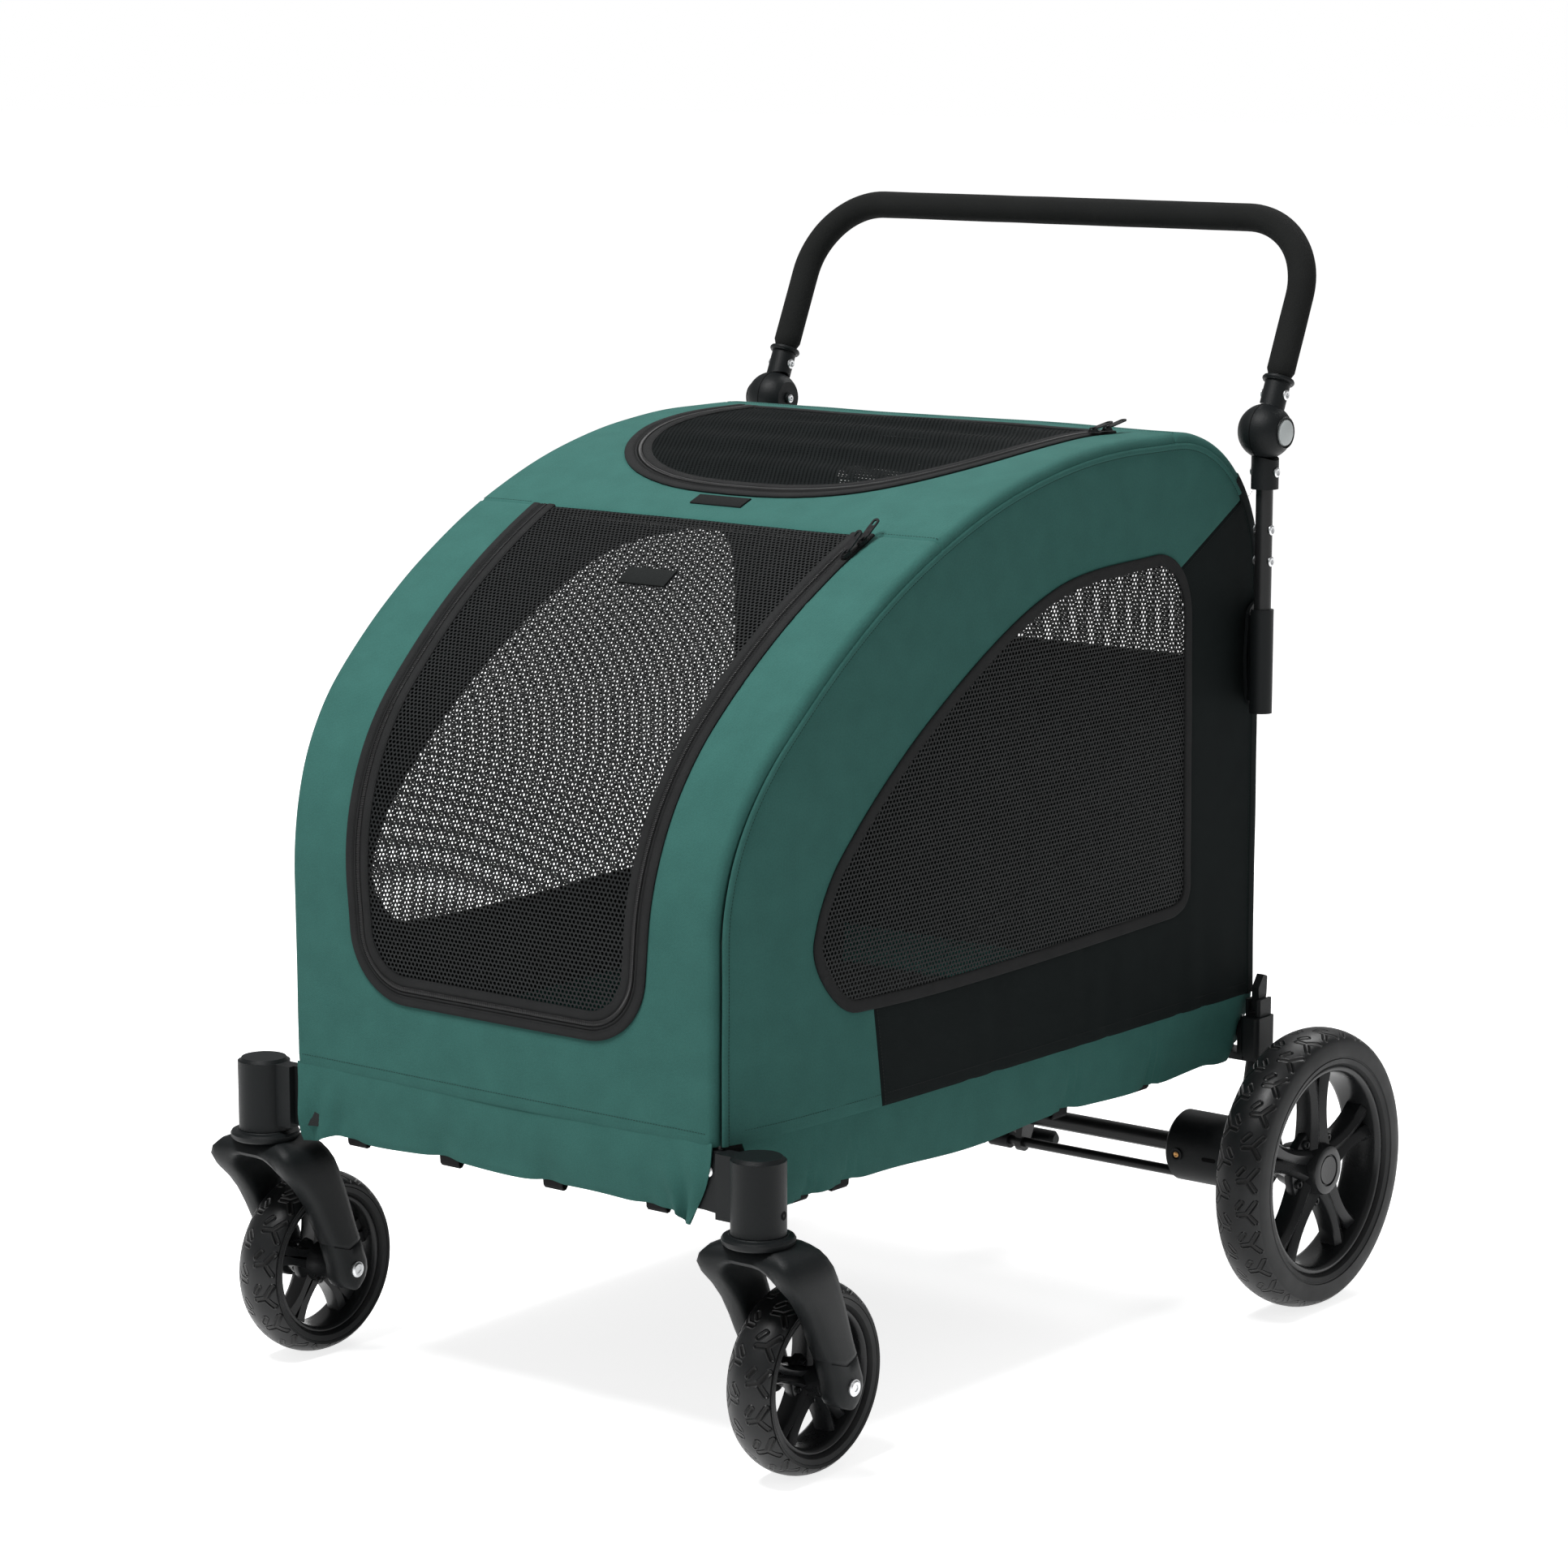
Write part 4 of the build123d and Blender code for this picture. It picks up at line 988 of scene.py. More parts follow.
for side, q in sides:
    points, faces, middles = laid_out(side_loop, [(window_loop, True), (black_cut, False)])
    in_window, in_black = within(middles, window_loop), within(middles, black_line)
    in_black &= ~in_window
    place = on_side(q)

    def upright(p):
        """Faint upright creases below the window."""
        low = max(0.0, min(1.0, (0.46 - p.z) / 0.1))
        bend = sin(p.y * 120 + 5 * noise.noise(Vector((p.y * 7, 0, q))))
        return drape(p) + low * 0.0011 * bend * noise.noise(Vector((p.y * 5, 4, q)))

    for name, chosen, node, look in (
        ("green_cloth", ~in_window & ~in_black, "side_green_panel", cloth_look),
        ("black_cloth", in_black, "side_black_panel", (canvas_thick, (black, lining), "black_fabric")),
        ("window_net", in_window, "side_window", net_look),
    ):
        sewn(f"side_{name}_{side}", points, faces, chosen, place, look, "base", f"{node}_{side}", upright)


# ---- Hem and webbing tabs --------------------------------------------------------------
# A strip of the same canvas hangs from the stitched fold on each side. Webbing tabs pull it
# in under the rails, and it stays open at the corners, where its free ends pucker and curl.


def eased(x, low, high):
    t = min(max((x - low) / (high - low), 0.0), 1.0)
    return t * t * (3 - 2 * t)


hem_top = 0.3262
tab_x, tab_y = (-0.200, -0.075, 0.060, 0.190), (-0.360, -0.300, 0.060, 0.210)


def gather(at, tabs):
    return sum(np.exp(-((at - t) / 0.016) ** 2) for t in tabs)


def front_hem(t, v):
    x, tip, q = 0.2685 * t, eased(abs(t), 0.80, 1.0), 1 if t > 0 else -1
    pull = gather(x, tab_x)
    low = 0.2545 - 0.0015 * sin(9 * t + 1) + 0.002 * pull - 0.012 * eased(abs(t), 0.82, 0.97)
    fold = 0.0042 * v * eased(abs(t), 0.70, 0.84) * sin(2 * pi * ((abs(t) - 0.72) * 7 - v * 0.85 + 0.1 * q))
    billow = 0.003 * v * noise.noise(Vector((t * 3.5, v, 2))) + 0.0015 * sin(v * pi)
    curl = (0.030 if q > 0 else 0.002) * tip
    y = front_y + 0.0014 - fold - billow + 0.004 * v * v * (1 + pull)
    return Vector((x - q * v * v * curl, y, hem_top - v * (hem_top - low)))


def side_hem(q):
    def at(t, v):
        top, low = -0.4555 + 0.851 * t, -0.430 + 0.8235 * t
        y = top + (low - top) * v
        end, pull = eased(t, 0.955, 1.0), gather(y, tab_y)
        floor = 0.2520 + 0.0025 * sin(y * 21 + 0.6) + 0.003 * pull
        floor += 0.012 * end - 0.004 * eased(t, 0.90, 0.94) * (1 - end)
        billow = 0.0035 * v * noise.noise(Vector((y * 4.5, v * 0.7, 5 + q))) + 0.002 * sin(v * pi)
        pucker = 0.0025 * v * pull * sin(y * 420) + 0.003 * end * v * sin(v * 9)
        inner = half_width(y) - 0.0014 + billow + pucker - 0.007 * v * v * (1 + 0.5 * pull) - 0.010 * end * v
        return Vector((q * inner, y - 0.004 * end * v, hem_top - v * (hem_top - floor)))
    return at


def rear_hem(t, v):
    x, end, pull = 0.258 * t, eased(abs(t), 0.90, 1.0), gather(0.258 * t, (-0.15, 0.0, 0.15))
    low = 0.2535 + 0.002 * sin(12 * t) + 0.003 * pull + 0.006 * end
    billow = 0.003 * v * noise.noise(Vector((t * 3, v, 9))) + 0.0015 * sin(v * pi)
    y = rear_y - 0.0014 + billow - 0.006 * v * v * (1 + 0.4 * pull) - 0.004 * end * v
    return Vector((x, y, hem_top - v * (hem_top - low)))


def hung(name, at, start, columns, rows=15):
    """A strip of cloth given by its surface from start to 1, closed, with a turned-up bottom edge."""
    work = bmesh.new()
    cut_map = work.loops.layers.uv.new("cut")
    stations, heights, layers = range(columns + 1), range(rows + 1), ([], [])
    grid = [[at(start + (1 - start) * i / columns, j / rows) for j in heights] for i in stations]
    for i in stations:
        for j in heights:
            here = grid[i][j]
            along = grid[min(i + 1, columns)][j] - grid[max(i - 1, 0)][j]
            down = grid[i][min(j + 1, rows)] - grid[i][max(j - 1, 0)]
            out = along.cross(down).normalized()
            if out.dot(Vector((here.x, here.y, 0))) < 0:
                out = -out
            turned_up = 0.0006 * eased(j / rows, 0.84, 0.88)
            layers[0].append(work.verts.new(here + out * turned_up))
            layers[1].append(work.verts.new(here - out * (canvas_thick + turned_up)))

    def add(keys, layer_of):
        face = work.faces.new([layers[k][v] for k, v in zip(layer_of, keys)])
        for corner, v in zip(face.loops, keys):
            i, j = divmod(v, rows + 1)
            corner[cut_map].uv = (i * 0.007, j * 0.005)

    down_one = rows + 1
    for i in range(columns):
        for j in range(rows):
            here = i * down_one + j
            ring = [here, here + down_one, here + down_one + 1, here + 1]
            add(ring, (0, 0, 0, 0))
            add(ring[::-1], (1, 1, 1, 1))
    ends = [(i * down_one + j, (i + 1) * down_one + j) for i in range(columns) for j in (0, rows)]
    ends += [(i * down_one + j, i * down_one + j + 1) for j in range(rows) for i in (0, columns)]
    for a, b in ends:
        add([a, b, b, a], (0, 0, 1, 1))
    mesh = as_mesh(work, name, green, angle=60, weld=False)
    piece = finished(name, mesh, "base", "green_fabric", "hem_skirt")
    return crushed(piece)


hung("hem_front", front_hem, -1, 84)
hung("hem_rear", rear_hem, -1, 74)
for side, q in sides:
    hung(f"hem_{side}", side_hem(q), 0, 124)

webbing = canvas("black_webbing", (0.016, 0.016, 0.017), (0.009, 0.009, 0.010), 0.0006)
straps = bmesh.new()
strap_map = straps.loops.layers.uv.new("cut")
hooked = [(0.0, 0.268), (0.0004, 0.256), (0.0010, 0.2485), (0.0030, 0.2458), (0.0062, 0.2462),
          (0.0085, 0.2490), (0.0095, 0.258)]
tabs = [((x, front_y + 0.0135, 0), (0, -1, 0)) for x in tab_x]
tabs += [((q * (half_width(y) - 0.0165), y, 0), (q, 0, 0)) for y in tab_y for _, q in sides]
for spot, face_way in tabs:
    out = Vector(face_way)
    across = Vector((0, 0, 1)).cross(out)
    rings = []
    for k, (back, z) in enumerate(hooked):
        b, a = hooked[min(k + 1, len(hooked) - 1)], hooked[max(k - 1, 0)]
        way = Vector((b[0] - a[0], b[1] - a[1])).normalized()
        normal = Vector((-way.y, way.x)) * 0.0007
        corners = []
        for w, side_n in ((-0.012, 1), (0.012, 1), (0.012, -1), (-0.012, -1)):
            rise = Vector((0, 0, z + side_n * normal.y))
            here = Vector(spot) - out * (back + side_n * normal.x) + rise + across * w
            corners.append(straps.verts.new(here))
        rings.append(corners)
    skinned(straps, rings)
for face in straps.faces:
    for corner in face.loops:
        corner[strap_map].uv = (corner.vert.co.x + corner.vert.co.y, corner.vert.co.z)
crushed(built(straps, "hem_straps", webbing, "base", "webbing", "hem_tabs"))


# ---- Bindings, zips and stitches -------------------------------------------------------
# Black tape binds every opening. The door and the top flap have a coil zip between two tapes,
# with two sliders each. Stitches follow the seams, the folds, the zips and the window tapes.

tape = canvas("black_tape", (0.020, 0.0205, 0.021), (0.0125, 0.013, 0.0135), 0.0005)
coil_finish = Finish("zip_coil", Base_Color=(0.012, 0.012, 0.0125), Roughness=0.38, Specular_IOR_Level=0.5)
thread = Finish("dark_thread", Base_Color=(0.012, 0.026, 0.023), Roughness=0.8, Specular_IOR_Level=0.2)
black_thread = Finish("black_thread", Base_Color=(0.020, 0.021, 0.021), Roughness=0.8, Specular_IOR_Level=0.2)


def inward(line):
    """1 where the inside of the line is on its left, and -1 where it is on its right."""
    turn = sum(a.x * b.y - b.x * a.y for a, b in zip(line, line[1:] + line[:1]))
    return 1 if turn > 0 else -1


def ribbon(work, line, place, section, closed, flip=1):
    """Sweeps a closed section of (sideways, height) corners along a line laid on the cloth."""
    count = len(line)
    cut_map = work.loops.layers.uv.verify()
    rings, run = [], [0.0]
    for k, here in enumerate(line):
        before = line[k - 1] if closed or k else here
        after = line[(k + 1) % count] if closed or k < count - 1 else here
        way = (after - before).normalized()
        if k:
            run.append(run[-1] + (here - line[k - 1]).length)
        side_way = Vector((-way.y, way.x)) * flip
        ring = []
        for across, height in section:
            spot = here + side_way * across
            ring.append(work.verts.new(place(spot.x, spot.y, height + drape(place(spot.x, spot.y)[0]))[0]))
        rings.append(ring)
    n = len(section)
    pairs = [(k, (k + 1) % count) for k in range(count if closed else count - 1)]
    for a, b in pairs:
        for j in range(n):
            face = work.faces.new((rings[a][j], rings[b][j], rings[b][(j + 1) % n], rings[a][(j + 1) % n]))
            ends = (run[a], run[a] + 0.007)
            for corner, (u, v) in zip(face.loops, ((0, j), (1, j), (1, j + 1), (0, j + 1))):
                corner[cut_map].uv = (ends[u], section[v % n][0])
    if not closed:
        work.faces.new(rings[0])
        work.faces.new(rings[-1][::-1])


def taped(name, body, strips, finish, slot_name="webbing"):
    work = bmesh.new()
    work.loops.layers.uv.new("cut")
    for strip in strips:
        ribbon(work, *strip)
    return crushed(built(work, name, finish, body, slot_name))


def folded_edge(start, width, height):
    """Section of a folded binding, rounded where it turns over."""
    end = start + width
    near = [(start, -0.0012), (start - 0.0003, height * 0.5), (start + 0.0008, height * 0.92)]
    far = [(start + width - 0.002, height * 0.9), (end, height * 0.45), (end, -0.0012)]
    return near + [(start + 0.003, height)] + far


zip_sections = {
    "outer": folded_edge(-0.001, 0.0098, 0.0021),
    "welt": [(0.0092, -0.0010), (0.0092, 0.0008), (0.0106, 0.0017), (0.0118, 0.0010), (0.0122, -0.0010)],
    "coil": [(0.0126, -0.0010), (0.0126, 0.0009), (0.0180, 0.0009), (0.0180, -0.0010)],
    "inner": folded_edge(0.0184, 0.0092, 0.0018),
}
zips = {"door": door_line, "top_flap": flap_line}
for name, line in zips.items():
    for half, body, kinds in (("frame", "base", ("outer", "welt")), ("tape", name, ("coil", "inner"))):
        strips = [(line, on_band, zip_sections[kind], False) for kind in kinds]
        taped(f"{name}_zip_{half}", body, strips, tape)
back_edge, back_fold = straight(flap_line[-1], flap_line[0]), folded_edge(-0.001, 0.010, 0.0016)
taped("top_flap_back_binding", "top_flap", [(back_edge, on_band, back_fold, False)], tape)


def bound(name, loop, place, height):
    """Binds an opening with a folded tape 12 mm wide."""
    return taped(name, "base", [(loop, place, folded_edge(-0.001, 0.012, height), True, inward(loop))], tape)


bound("rear_window_binding", rear_loop, on_band, 0.0018)
for side, q in sides:
    bound(f"side_window_binding_{side}", window_loop, on_side(q), 0.0019)

# A welt closes the seam over the arch and down each corner. Black cloth wraps each rear corner
# below the shoulder, and a gusset lines its foot down to the pad.
black_from = 0.886
turn_black = next(k for k, p in enumerate(side_edge) if p.x > 0.35 and p.y < black_from)
green_run, black_run = side_edge[:turn_black + 1], side_edge[turn_black:]
down_corner = np.linspace(s_behind(black_from), rear_hem_s - 0.001, 60)
corner_wrap = [(x, 0.0010) for x in np.linspace(0.0, 0.034, 9)]
corner_wrap += [(x, -0.0006) for x in np.linspace(0.034, 0.0, 9)]
route = [(0.2715, 0.334), (0.2640, 0.362), (0.2610, 0.374), (0.2588, 0.3935), (0.2562, 0.3952)]
welt_ring = [(0.0034 * cos(2 * pi * k / 10), 0.0017 * sin(2 * pi * k / 10) - 0.0005) for k in range(10)]
for side, q in sides:
    place = on_side(q)
    taped(f"corner_welt_{side}", "base", [(green_run, place, welt_ring, False)], green, "green_fabric")
    behind = [Vector((q * (band_reach(s) - 0.0004), s)) for s in down_corner]
    strips = [(black_run, place, welt_ring, False), (behind, on_band, corner_wrap, False, q)]
    taped(f"rear_corner_binding_{side}", "base", strips, black, "black_fabric")
    work = bmesh.new()
    walls = []
    for inset in (0, canvas_thick):
        for z in (0.2817, 0.3340):
            walls.append([work.verts.new((q * (x + inset), y, z)) for x, y in route])
    low_in, high_in, low_out, high_out = walls
    for row_a, row_b in ((low_in, high_in), (high_in, high_out), (high_out, low_out), (low_out, low_in)):
        for k in range(len(route) - 1):
            work.faces.new((row_a[k], row_a[k + 1], row_b[k + 1], row_b[k]))
    for k in (0, -1):
        work.faces.new((low_in[k], high_in[k], high_out[k], low_out[k]))
    crushed(built(work, f"corner_gusset_{side}", lining, "base", "black_fabric"))

beads = bpy.data.node_groups.new("beads_along_a_line", "GeometryNodeTree")
beads.interface.new_socket("Geometry", in_out="INPUT", socket_type="NodeSocketGeometry")
for label in ("Length", "Width", "Height"):
    beads.interface.new_socket(label, in_out="INPUT", socket_type="NodeSocketFloat")
beads.interface.new_socket("Finish", in_out="INPUT", socket_type="NodeSocketMaterial")
beads.interface.new_socket("Geometry", in_out="OUTPUT", socket_type="NodeSocketGeometry")
add_node, join = beads.nodes.new, beads.links.new
given, result = add_node("NodeGroupInput"), add_node("NodeGroupOutput")
ball = add_node("GeometryNodeMeshUVSphere")
ball.inputs["Segments"].default_value, ball.inputs["Rings"].default_value = 6, 4
ball.inputs["Radius"].default_value = 0.5
size = add_node("ShaderNodeCombineXYZ")
for k, label in enumerate(("Length", "Width", "Height")):
    join(given.outputs[label], size.inputs[k])
turn = add_node("FunctionNodeAxesToRotation")
turn.primary_axis, turn.secondary_axis = "Z", "X"
for label, at in (("out", 0), ("way", 1)):
    attribute = add_node("GeometryNodeInputNamedAttribute")
    attribute.data_type = "FLOAT_VECTOR"
    attribute.inputs["Name"].default_value = label
    join(attribute.outputs["Attribute"], turn.inputs[at])
set_down = add_node("GeometryNodeInstanceOnPoints")
real = add_node("GeometryNodeRealizeInstances")
soft = add_node("GeometryNodeSetShadeSmooth")
coated = add_node("GeometryNodeSetMaterial")
join(given.outputs["Geometry"], set_down.inputs["Points"])
join(ball.outputs["Mesh"], set_down.inputs["Instance"])
join(turn.outputs["Rotation"], set_down.inputs["Rotation"])
join(size.outputs["Vector"], set_down.inputs["Scale"])
join(set_down.outputs["Instances"], real.inputs["Geometry"])
join(real.outputs["Geometry"], soft.inputs["Geometry"])
join(soft.outputs["Geometry"], coated.inputs["Geometry"])
join(given.outputs["Finish"], coated.inputs["Material"])
join(coated.outputs["Geometry"], result.inputs["Geometry"])


def beaded(name, body, spots, size, finish, slot_name):
    """Sets a rounded bar at each (point, way, out)."""
    mesh = bpy.data.meshes.new(name)
    mesh.from_pydata([p for p, _, _ in spots], [], [])
    for label, k in (("way", 1), ("out", 2)):
        layer = mesh.attributes.new(label, "FLOAT_VECTOR", "POINT")
        layer.data.foreach_set("vector", np.array([tuple(s[k]) for s in spots], dtype=np.float32).ravel())
    holder = bpy.data.objects.new(name, mesh)
    bpy.context.scene.collection.objects.link(holder)
    spread = holder.modifiers.new("beads", "NODES")
    spread.node_group = beads
    sockets = {item.name: item.identifier for item in beads.interface.items_tree if item.in_out == "INPUT"}
    for label, value in zip(("Length", "Width", "Height"), size):
        spread[sockets[label]] = value
    spread[sockets["Finish"]] = finish.material
    evaluated = holder.evaluated_get(bpy.context.evaluated_depsgraph_get())
    made = bpy.data.meshes.new_from_object(evaluated)
    bpy.data.objects.remove(holder)
    bpy.data.meshes.remove(mesh)
    made.name = name
    return crushed(finished(name, made, body, slot_name))


def along(line, place, across, height, pitch, closed=False, flip=1, start=0.0):
    """Points every pitch along a line shifted sideways, each with its way and outward direction."""
    shifted_line = shifted(line, across * flip, closed)
    if closed:
        shifted_line = shifted_line + shifted_line[:1]
    spots, carry = [], pitch * 0.5 + start
    for a, b in zip(shifted_line, shifted_line[1:]):
        length = (b - a).length
        while carry < length:
            here, ahead = a.lerp(b, carry / length), a.lerp(b, min(1.0, (carry + 0.001) / length + 0.001))
            spot, out = place(here.x, here.y)
            way = (place(ahead.x, ahead.y)[0] - spot).normalized()
            spots.append((spot + out * (height + drape(spot)), way, out))
            carry += pitch
        carry -= length
    return spots


def crosswise(spots):
    return [(p, way.cross(out), out) for p, way, out in spots]


stitch, tape_stitch, fine = (0.0025, 0.00065, 0.00055), (0.0025, 0.0006, 0.0005), 0.0034
for name, line in zips.items():
    teeth = crosswise(along(line, on_band, 0.0153, 0.0013, 0.00175))
    beaded(f"{name}_zip_teeth", name, teeth, (0.0056, 0.0013, 0.0017), coil_finish, "zip_metal")
    for strip, body, across, height in (("frame", "base", 0.0076, 0.0021), ("tape", name, 0.0262, 0.0015)):
        seams = along(line, on_band, across, height, fine)
        beaded(f"{name}_{strip}_stitches", body, seams, tape_stitch, black_thread, "webbing")

fold_up = 0.0125
front_fold, rear_fold, side_fold = hem_s + fold_up, rear_hem_s - fold_up, seam_z + fold_up


def stitched(a, b, place, step=0.02):
    """A straight row of stitches on the cloth, from a to b."""
    return along(straight(a, b, step), place, 0, 0.0001, fine)


rows_of_stitches = stitched((-0.262, front_fold), (0.262, front_fold), on_band)
rows_of_stitches += stitched((-0.290, rear_fold), (0.290, rear_fold), on_band)
for s in (door_seam, rear_seam):
    reach = band_reach(s) - seam_in
    for left, right in ((-reach, -0.226), (0.226, reach)) if s == door_seam else ((-reach, reach),):
        rows_of_stitches += stitched((left, s + 0.004), (right, s + 0.004), on_band)
dark_rows = []
for side, q in sides:
    place = on_side(q)
    rows_of_stitches += along(side_edge, place, -0.0035, 0.0001, fine)
    rows_of_stitches += stitched((-0.452, side_fold), (-0.262, side_fold), place, 0.01)
    dark_rows += stitched((-0.252, side_fold), (0.380, side_fold), place, 0.01)
    dark_rows += along(window_loop, place, 0.0098, 0.0015, fine, True, inward(window_loop))
    dark_rows += along(black_cut, place, -0.004, 0.0001, fine)
dark_rows += along(rear_loop, on_band, 0.0100, 0.0014, fine, True, inward(rear_loop))
beaded("cloth_stitches", "base", rows_of_stitches, stitch, thread, "green_fabric")
beaded("black_stitches", "base", dark_rows, stitch, black_thread, "black_fabric")

hook = Finish("hook_and_loop", Roughness=0.95, Specular_IOR_Level=0.1)
fuzz = hook.grain(900, 3, 0.7)
hook.set(Base_Color=hook.blend(fuzz, (0.006, 0.007, 0.007), (0.026, 0.028, 0.028))).relief(fuzz, 0.0012)
patch = [(-0.0095, -0.001), (-0.0095, 0.0012), (-0.0085, 0.0018)]
patch += [(-x, height) for x, height in reversed(patch)]
for name, body, left, right, y, swell in (
    ("top_fastener", "base", -0.0325, 0.0325, -0.141, 1),
    ("door_fastener", "door", -0.022, 0.038, -0.265, 1.3),
):
    section = [(x * swell, height) for x, height in patch]
    line = straight((left, s_at_y(y)), (right, s_at_y(y)))
    taped(name, body, [(line, on_band, section, False)], hook)


# ---- Floor pad ------------------------------------------------------------------------
# A quilted cushion fills the floor of the cabin. Its filling swells between stitched rows,
# which stay down on the board.

pad_low, pad_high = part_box("floor_pad")
pad_middle, pad_size = (pad_low + pad_high) / 2, pad_high - pad_low
quilt_rows = [pad_middle.y + pad_size.y * share for share in (-0.25, 0.0, 0.25)]
quilt_columns = [pad_size.x * share for share in (-0.18, 0.18)]
pad_cloth = Finish("quilted_cloth", Specular_IOR_Level=0.2, Sheen_Weight=0.1)
pad_weave = pad_cloth.grain(900, 2)
pad_shade = pad_cloth.grain(16, 4)
pad_cloth.set(Base_Color=pad_cloth.blend(pad_shade, (0.013, 0.015, 0.015), (0.024, 0.027, 0.027)))
pad_cloth.set(Roughness=pad_weave * 0.2 + 0.75).relief(pad_weave, 0.0004)


def off_stitch(co):
    return min([abs(co.y - y) for y in quilt_rows] + [abs(co.x - x) for x in quilt_columns])


work = bmesh.new()
bmesh.ops.create_cube(work, size=1.0)
for corner in work.verts:
    x, y, z = corner.co
    corner.co = Vector((x * (pad_size.x - 0.008), y * (pad_size.y - 0.008), z * 0.0105)) + pad_middle
    corner.co.z -= 0.001
pad = built(work, "floor_pad_cushion", pad_cloth, "base", "pad_fabric", "floor_pad")
cubes = pad.modifiers.new("cells", "REMESH")
cubes.mode, cubes.voxel_size = "VOXEL", 0.0052


def settle(piece, modifier_name):
    """Takes the piece's modified shape as its own mesh."""
    shape = bpy.data.meshes.new_from_object(piece.evaluated_get(bpy.context.evaluated_depsgraph_get()))
    shape.name = piece.name
    piece.modifiers.remove(piece.modifiers[modifier_name])
    piece.data = shape


settle(pad, "cells")
started = [corner.co.copy() for corner in pad.data.vertices]
group = pad.vertex_groups.new(name="stitched")
foot_z = pad_low.z + 0.002
held_down = [v.index for v in pad.data.vertices if off_stitch(v.co) < 0.004 or v.co.z < foot_z]
group.add(held_down, 1.0, "REPLACE")
swell = pad.modifiers.new("swell", "CLOTH")
swell.settings.quality, swell.settings.use_pressure, swell.settings.uniform_pressure_force = 5, True, 4.0
swell.settings.vertex_group_mass = "stitched"
swell.settings.effector_weights.gravity = 0.0
for moment in range(1, 21):
    bpy.context.scene.frame_set(moment)
settle(pad, "swell")
bpy.context.scene.frame_set(1)
for corner, start in zip(pad.data.vertices, started):
    moved = corner.co - start
    moved = moved * min(1.0, 0.006 / max(moved.length, 1e-6))
    corner.co = start + moved
    if start.z > pad_middle.z - 0.001:
        dip = 0.0042 * np.exp(-(off_stitch(start) / 0.006) ** 2)
        from_side, from_end = pad_size.x / 2 - abs(start.x), pad_size.y / 2 - abs(start.y - pad_middle.y)
        crown = 0.0028 * min(1.0, from_side / 0.05, from_end / 0.05)
        corner.co.z = min(corner.co.z + crown - dip, pad_high.z)
    corner.co.z = max(corner.co.z, pad_low.z)
for face in pad.data.polygons:
    face.use_smooth = True


# ---- Handle ---------------------------------------------------------------------------
# Closed-cell foam is pulled over the bent tube from collar to collar. Each hinge is a ball in
# two halves, with a grey push button outside, a bolt head inside, and a riveted sleeve.

handle_lean = radians(24)
up_handle = Vector((0, sin(handle_lean), cos(handle_lean)))
foam = Finish("grip_foam", Specular_IOR_Level=0.12)
foam_cells = foam.node("ShaderNodeTexVoronoi", Vector=foam.place(), Scale=1400.0)
wear = foam.grain(18, 4)
foam.set(Base_Color=foam.blend(wear, (0.0085, 0.0090, 0.0088), (0.0150, 0.0158, 0.0154)))
foam.set(Roughness=wear * 0.1 + 0.86).relief(foam_cells + foam.grain(500, 3) * 0.8, 0.0004)
# Near black: the dark seam between the ball halves, and painted shade for the depth of the drum slots and
# housing holes.
dark_seam_and_painted_hole_shade = Finish("dark_seam_and_painted_hole_shade", Base_Color=(0.0012, 0.0013, 0.0014), Roughness=0.8, Specular_IOR_Level=0.1)
button_grey = Finish("button_grey", Specular_IOR_Level=0.4)
button_shade = button_grey.grain(40, 3)
button_grey.set(Base_Color=button_grey.blend(button_shade, (0.50, 0.54, 0.54), (0.56, 0.60, 0.60)))
button_grey.set(Roughness=button_grey.grain(260, 2) * 0.15 + 0.34)

foam_foot, handle_top, foam_r = 0.0605, 0.236, 0.0149
bend = [(-hinge_x, foam_foot), (-hinge_x, handle_top), (hinge_x, handle_top), (hinge_x, foam_foot)]
line = even(rounded(bend, 0.089), 0.005, False)
line = [Vector((0, hinge_y, hinge_z)) + Vector((p.x, 0, 0)) + up_handle * p.y for p in line]
whole = sum((b - a).length for a, b in zip(line, line[1:]))
work = bmesh.new()
rings, gone = [], 0.0
for i, here in enumerate(line):
    before, after = line[max(i - 1, 0)], line[min(i + 1, len(line) - 1)]
    gone += (here - line[i - 1]).length if i else 0.0
    way = (after - before).normalized()
    normal = Vector((0, up_handle.z, -up_handle.y))
    level = way.cross(normal).normalized()
    end_gap = min(gone, whole - gone)
    radius = foam_r - 0.0030 * max(0.0, 1 - end_gap / 0.004) ** 2
    radius += 0.00025 * noise.noise(here * 22)
    turns = [2 * pi * k / 40 for k in range(40)]
    rings.append([work.verts.new(here + (normal * cos(a) + level * sin(a)) * radius) for a in turns])
skinned(work, rings)
built(work, "foam_grip_sleeve", foam, "handle", "foam", "foam_grip")


def turning(name, profile, centre, axis, finish, body, slot_name, steps, *instead):
    """A lathed piece, given by its profile, its centre and its axis."""
    work = bmesh.new()
    lathe(work, profile, (0, 0, 0), steps, closed=profile[0][1] > 0)
    bmesh.ops.transform(work, matrix=about(centre, axis), verts=work.verts)
    return built(work, name, finish, body, slot_name, *instead)


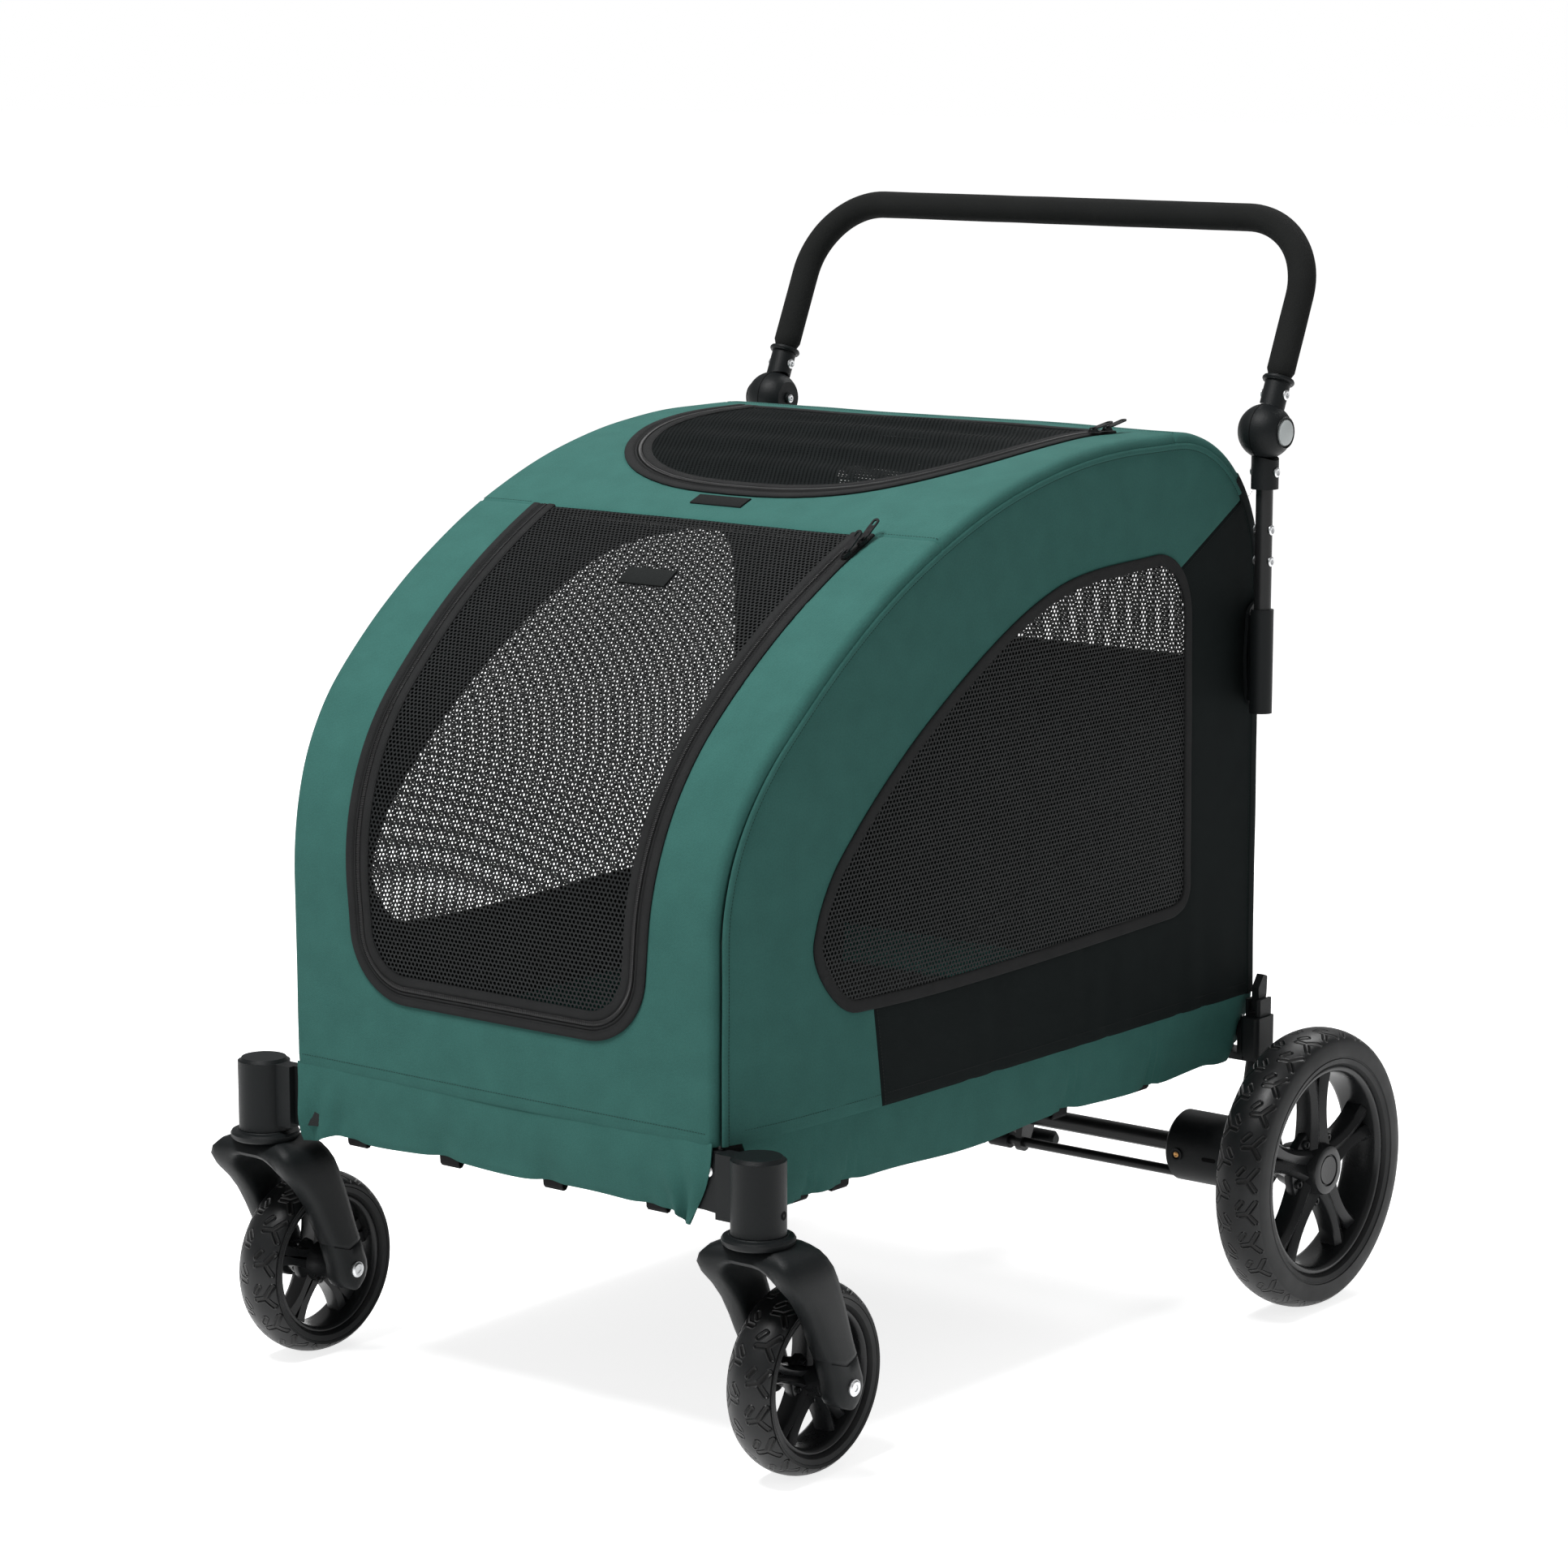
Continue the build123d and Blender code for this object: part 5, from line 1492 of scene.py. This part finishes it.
collar = [(0.0540, 0.0112), (0.0545, 0.0158), (0.0552, 0.0168), (0.0564, 0.0172), (0.0578, 0.0168),
          (0.0586, 0.0157), (0.0588, 0.0112)]
seam = [(-0.0005, 0.0285), (-0.0005, 0.0291), (0.0005, 0.0291), (0.0005, 0.0285)]
bezel = [(0.0, 0.0143), (0.0006, 0.0149), (0.0012, 0.0163), (0.0004, 0.0168), (0.0, 0.0168)]
press_face = [(-0.007, 0), (-0.007, 0.0138), (0.0002, 0.0138), (0.0016, 0.0131), (0.0024, 0.0112),
              (0.0025, 0)]
for side, q in sides:
    ball = Vector((q * hinge_x, hinge_y, hinge_z))
    turning(f"sleeve_collar_{side}", collar, ball, up_handle, nylon, "handle", "black_plastic", 64)
    sleeve = ball + up_handle * 0.041
    rivets(f"sleeve_rivet_{side}", "handle", [
        (sleeve + Vector((way * 0.0132, 0, 0)), (way, 0, 0), 0.0054, 0.0022) for way in (-1, 1)
    ])
    seam_at, face_at = (Vector((q * x, hinge_y, hinge_z)) for x in (0.327, 0.353))
    outside = (q, 0, 0)
    turning(f"ball_seam_{side}", seam, seam_at, outside, dark_seam_and_painted_hole_shade, "rear_frame", "black_plastic", 72)
    turning(f"push_button_face_{side}", press_face, face_at, outside, button_grey, f"button_{side}",
            "grey_plastic", 72, f"push_button_{side}")
    bolt_at = ball + Vector((-q * 0.0258, 0, 0))
    rivets(f"ball_bolt_{side}", "rear_frame", [(bolt_at, (-q, 0, 0), 0.0046, 0.0018)])
    turning(f"button_bezel_{side}", bezel, face_at, outside, nylon, "handle", "black_plastic", 64)


# ---- Zip pulls ------------------------------------------------------------------------
# Two black sliders close each zip, at the left end of the door's and of the top flap's. Each
# has a bridge and a leaf with a round eye, and the leaves lie on the cloth one behind the other.

pull_metal = Finish("zip_pull_metal", Metallic=0.6, Specular_IOR_Level=0.5)
chips = pull_metal.grain(260, 3)
pull_metal.set(Base_Color=pull_metal.blend(chips, (0.012, 0.012, 0.013), (0.030, 0.030, 0.032)),
               Roughness=chips * 0.2 + 0.26)


def capsule(near, far, radius, steps=8):
    """Outline of a bar with round ends, from near to far along X."""
    ends = [(far + radius * cos(a), radius * sin(a)) for a in np.linspace(-pi / 2, pi / 2, steps)]
    return ends + [(near - radius * cos(a), -radius * sin(a)) for a in np.linspace(-pi / 2, pi / 2, steps)]


def plate(work, outer, inner, low, high, turn):
    """A flat ring between two outlines of the same count, from low to high."""
    def ring(loop, z):
        return [work.verts.new(turn @ Vector((x, y, z))) for x, y in loop]

    low_out, low_in = ring(outer, low), ring(inner, low)
    high_out, high_in = ring(outer, high), ring(inner, high)
    count = len(outer)
    for k in range(count):
        n = (k + 1) % count
        work.faces.new((high_out[k], high_out[n], high_in[n], high_in[k]))
        work.faces.new((low_out[n], low_out[k], low_in[k], low_in[n]))
        work.faces.new((low_out[k], low_out[n], high_out[n], high_out[k]))
        work.faces.new((low_in[n], low_in[k], high_in[k], high_in[n]))


def zip_pull(work, foot, way, out, tilt):
    """A slider at foot that runs along way, with its leaf tilted up by the angle given."""
    across = out.cross(way)
    seat = Matrix.Translation(foot) @ Matrix((way, across, out)).transposed().to_4x4()
    slim = [(x, y * 0.5) for x, y in capsule(-0.0028, 0.0030, 0.0040)]
    middle = [(x * 0.02, y * 0.02) for x, y in slim]
    for low, high, swell in ((0.0004, 0.0016, 1.0), (0.0016, 0.0030, 0.86)):
        plate(work, [(x * swell, y * 2 * swell) for x, y in slim], middle, low, high, seat)
    bridge = seat @ Matrix.Rotation(-pi / 2, 4, "X") @ Matrix.Translation((0, -0.0030, 0))
    plate(work, capsule(-0.0030, 0.0030, 0.0024), capsule(-0.0030, 0.0030, 0.0013), -0.0010, 0.0010, bridge)
    leaf = seat @ Matrix.Translation((0.0030, 0, 0.0042)) @ Matrix.Rotation(-tilt, 4, "Y")
    plate(work, capsule(0.0035, 0.0210, 0.0040), capsule(0.0175, 0.0205, 0.0020), -0.0007, 0.0007, leaf)
    plate(work, capsule(-0.0010, 0.0030, 0.0028), capsule(-0.0004, 0.0012, 0.0014), -0.0006, 0.0006, leaf)


pulls = bmesh.new()
above_cloth = 0.0030
door_sliders = ((0.2155, -0.2130, 0.32), (0.2200, -0.1925, 0.30))
flap_sliders = ((0.2480, 0.1560, 0.20), (0.2500, 0.1780, 0.24))
for u, y, tilt in door_sliders + flap_sliders:
    foot, out = on_band(u, s_at_y(y), above_cloth)
    ahead, _ = on_band(u + 0.0006, s_at_y(y) + 0.004, above_cloth)
    along_zip = (ahead - foot).normalized()
    zip_pull(pulls, foot, (along_zip - out * along_zip.dot(out)).normalized(), out, tilt)
crushed(built(pulls, "zip_pulls_cast", pull_metal, "base", "zip_metal", "zip_pulls"))


# ---- Screws and moulding marks --------------------------------------------------------
# Each drum takes a brass screw in a dished seat and has a slot beside it, and each caster
# housing has a drilled hole. The slot and the hole are near-black plates, painted shade for their depth.

brass = Finish("brass_screw", Metallic=1.0, Base_Color=(0.50, 0.27, 0.10), Roughness=0.32)
dish = [(0, 0), (0.0003, 0.0062), (0.0014, 0.0075), (0.0026, 0.0072), (0.0026, 0.0052), (0.0012, 0.0040),
        (0.0012, 0)]
screw_top = [(0.0008, 0), (0.0008, 0.0032), (0.0020, 0.0030), (0.0024, 0.0018), (0.0018, 0.0010), (0.0018, 0)]
hole = [(0, 0), (0, 0.0030 * 1.3), (0.0004, 0.0034 * 1.3), (0.0004, 0.0024 * 1.3), (0.0002, 0)]
for side, q in sides:
    facing = Vector((0, -1, -0.05)).normalized()
    seat_at = Vector((q * 0.2520, axle_y, rear_r)) + facing * 0.0376
    turning(f"drum_screw_seat_{side}", dish, seat_at, facing, nylon, "base", "black_plastic", 32)
    turning(f"drum_screw_{side}", screw_top, seat_at, facing, brass, "base", "zip_metal", 24)
    work = bmesh.new()
    upright = Matrix.Translation((q * 0.2930, axle_y - 0.0383, 0.1480)) @ Matrix.Rotation(pi / 2, 4, "X")
    plate(work, capsule(-0.0065, 0.0065, 0.0022), capsule(-0.0001, 0.0001, 0.0001), -0.0010, 0.0006, upright)
    # The slot is a near-black plate: painted shade for a recess.
    built(work, f"drum_slot_{side}", dark_seam_and_painted_hole_shade, "base", "black_plastic")
    out_way = Vector((q * cos(radians(11)), sin(radians(11)), 0))
    hole_at = Vector((q * caster_x, caster_y, 0.2686)) + out_way * 0.0262
    # The hole is a near-black disc: painted shade for its depth.
    turning(f"housing_hole_{side}", hole, hole_at, out_way, dark_seam_and_painted_hole_shade, "base", "black_plastic", 24)
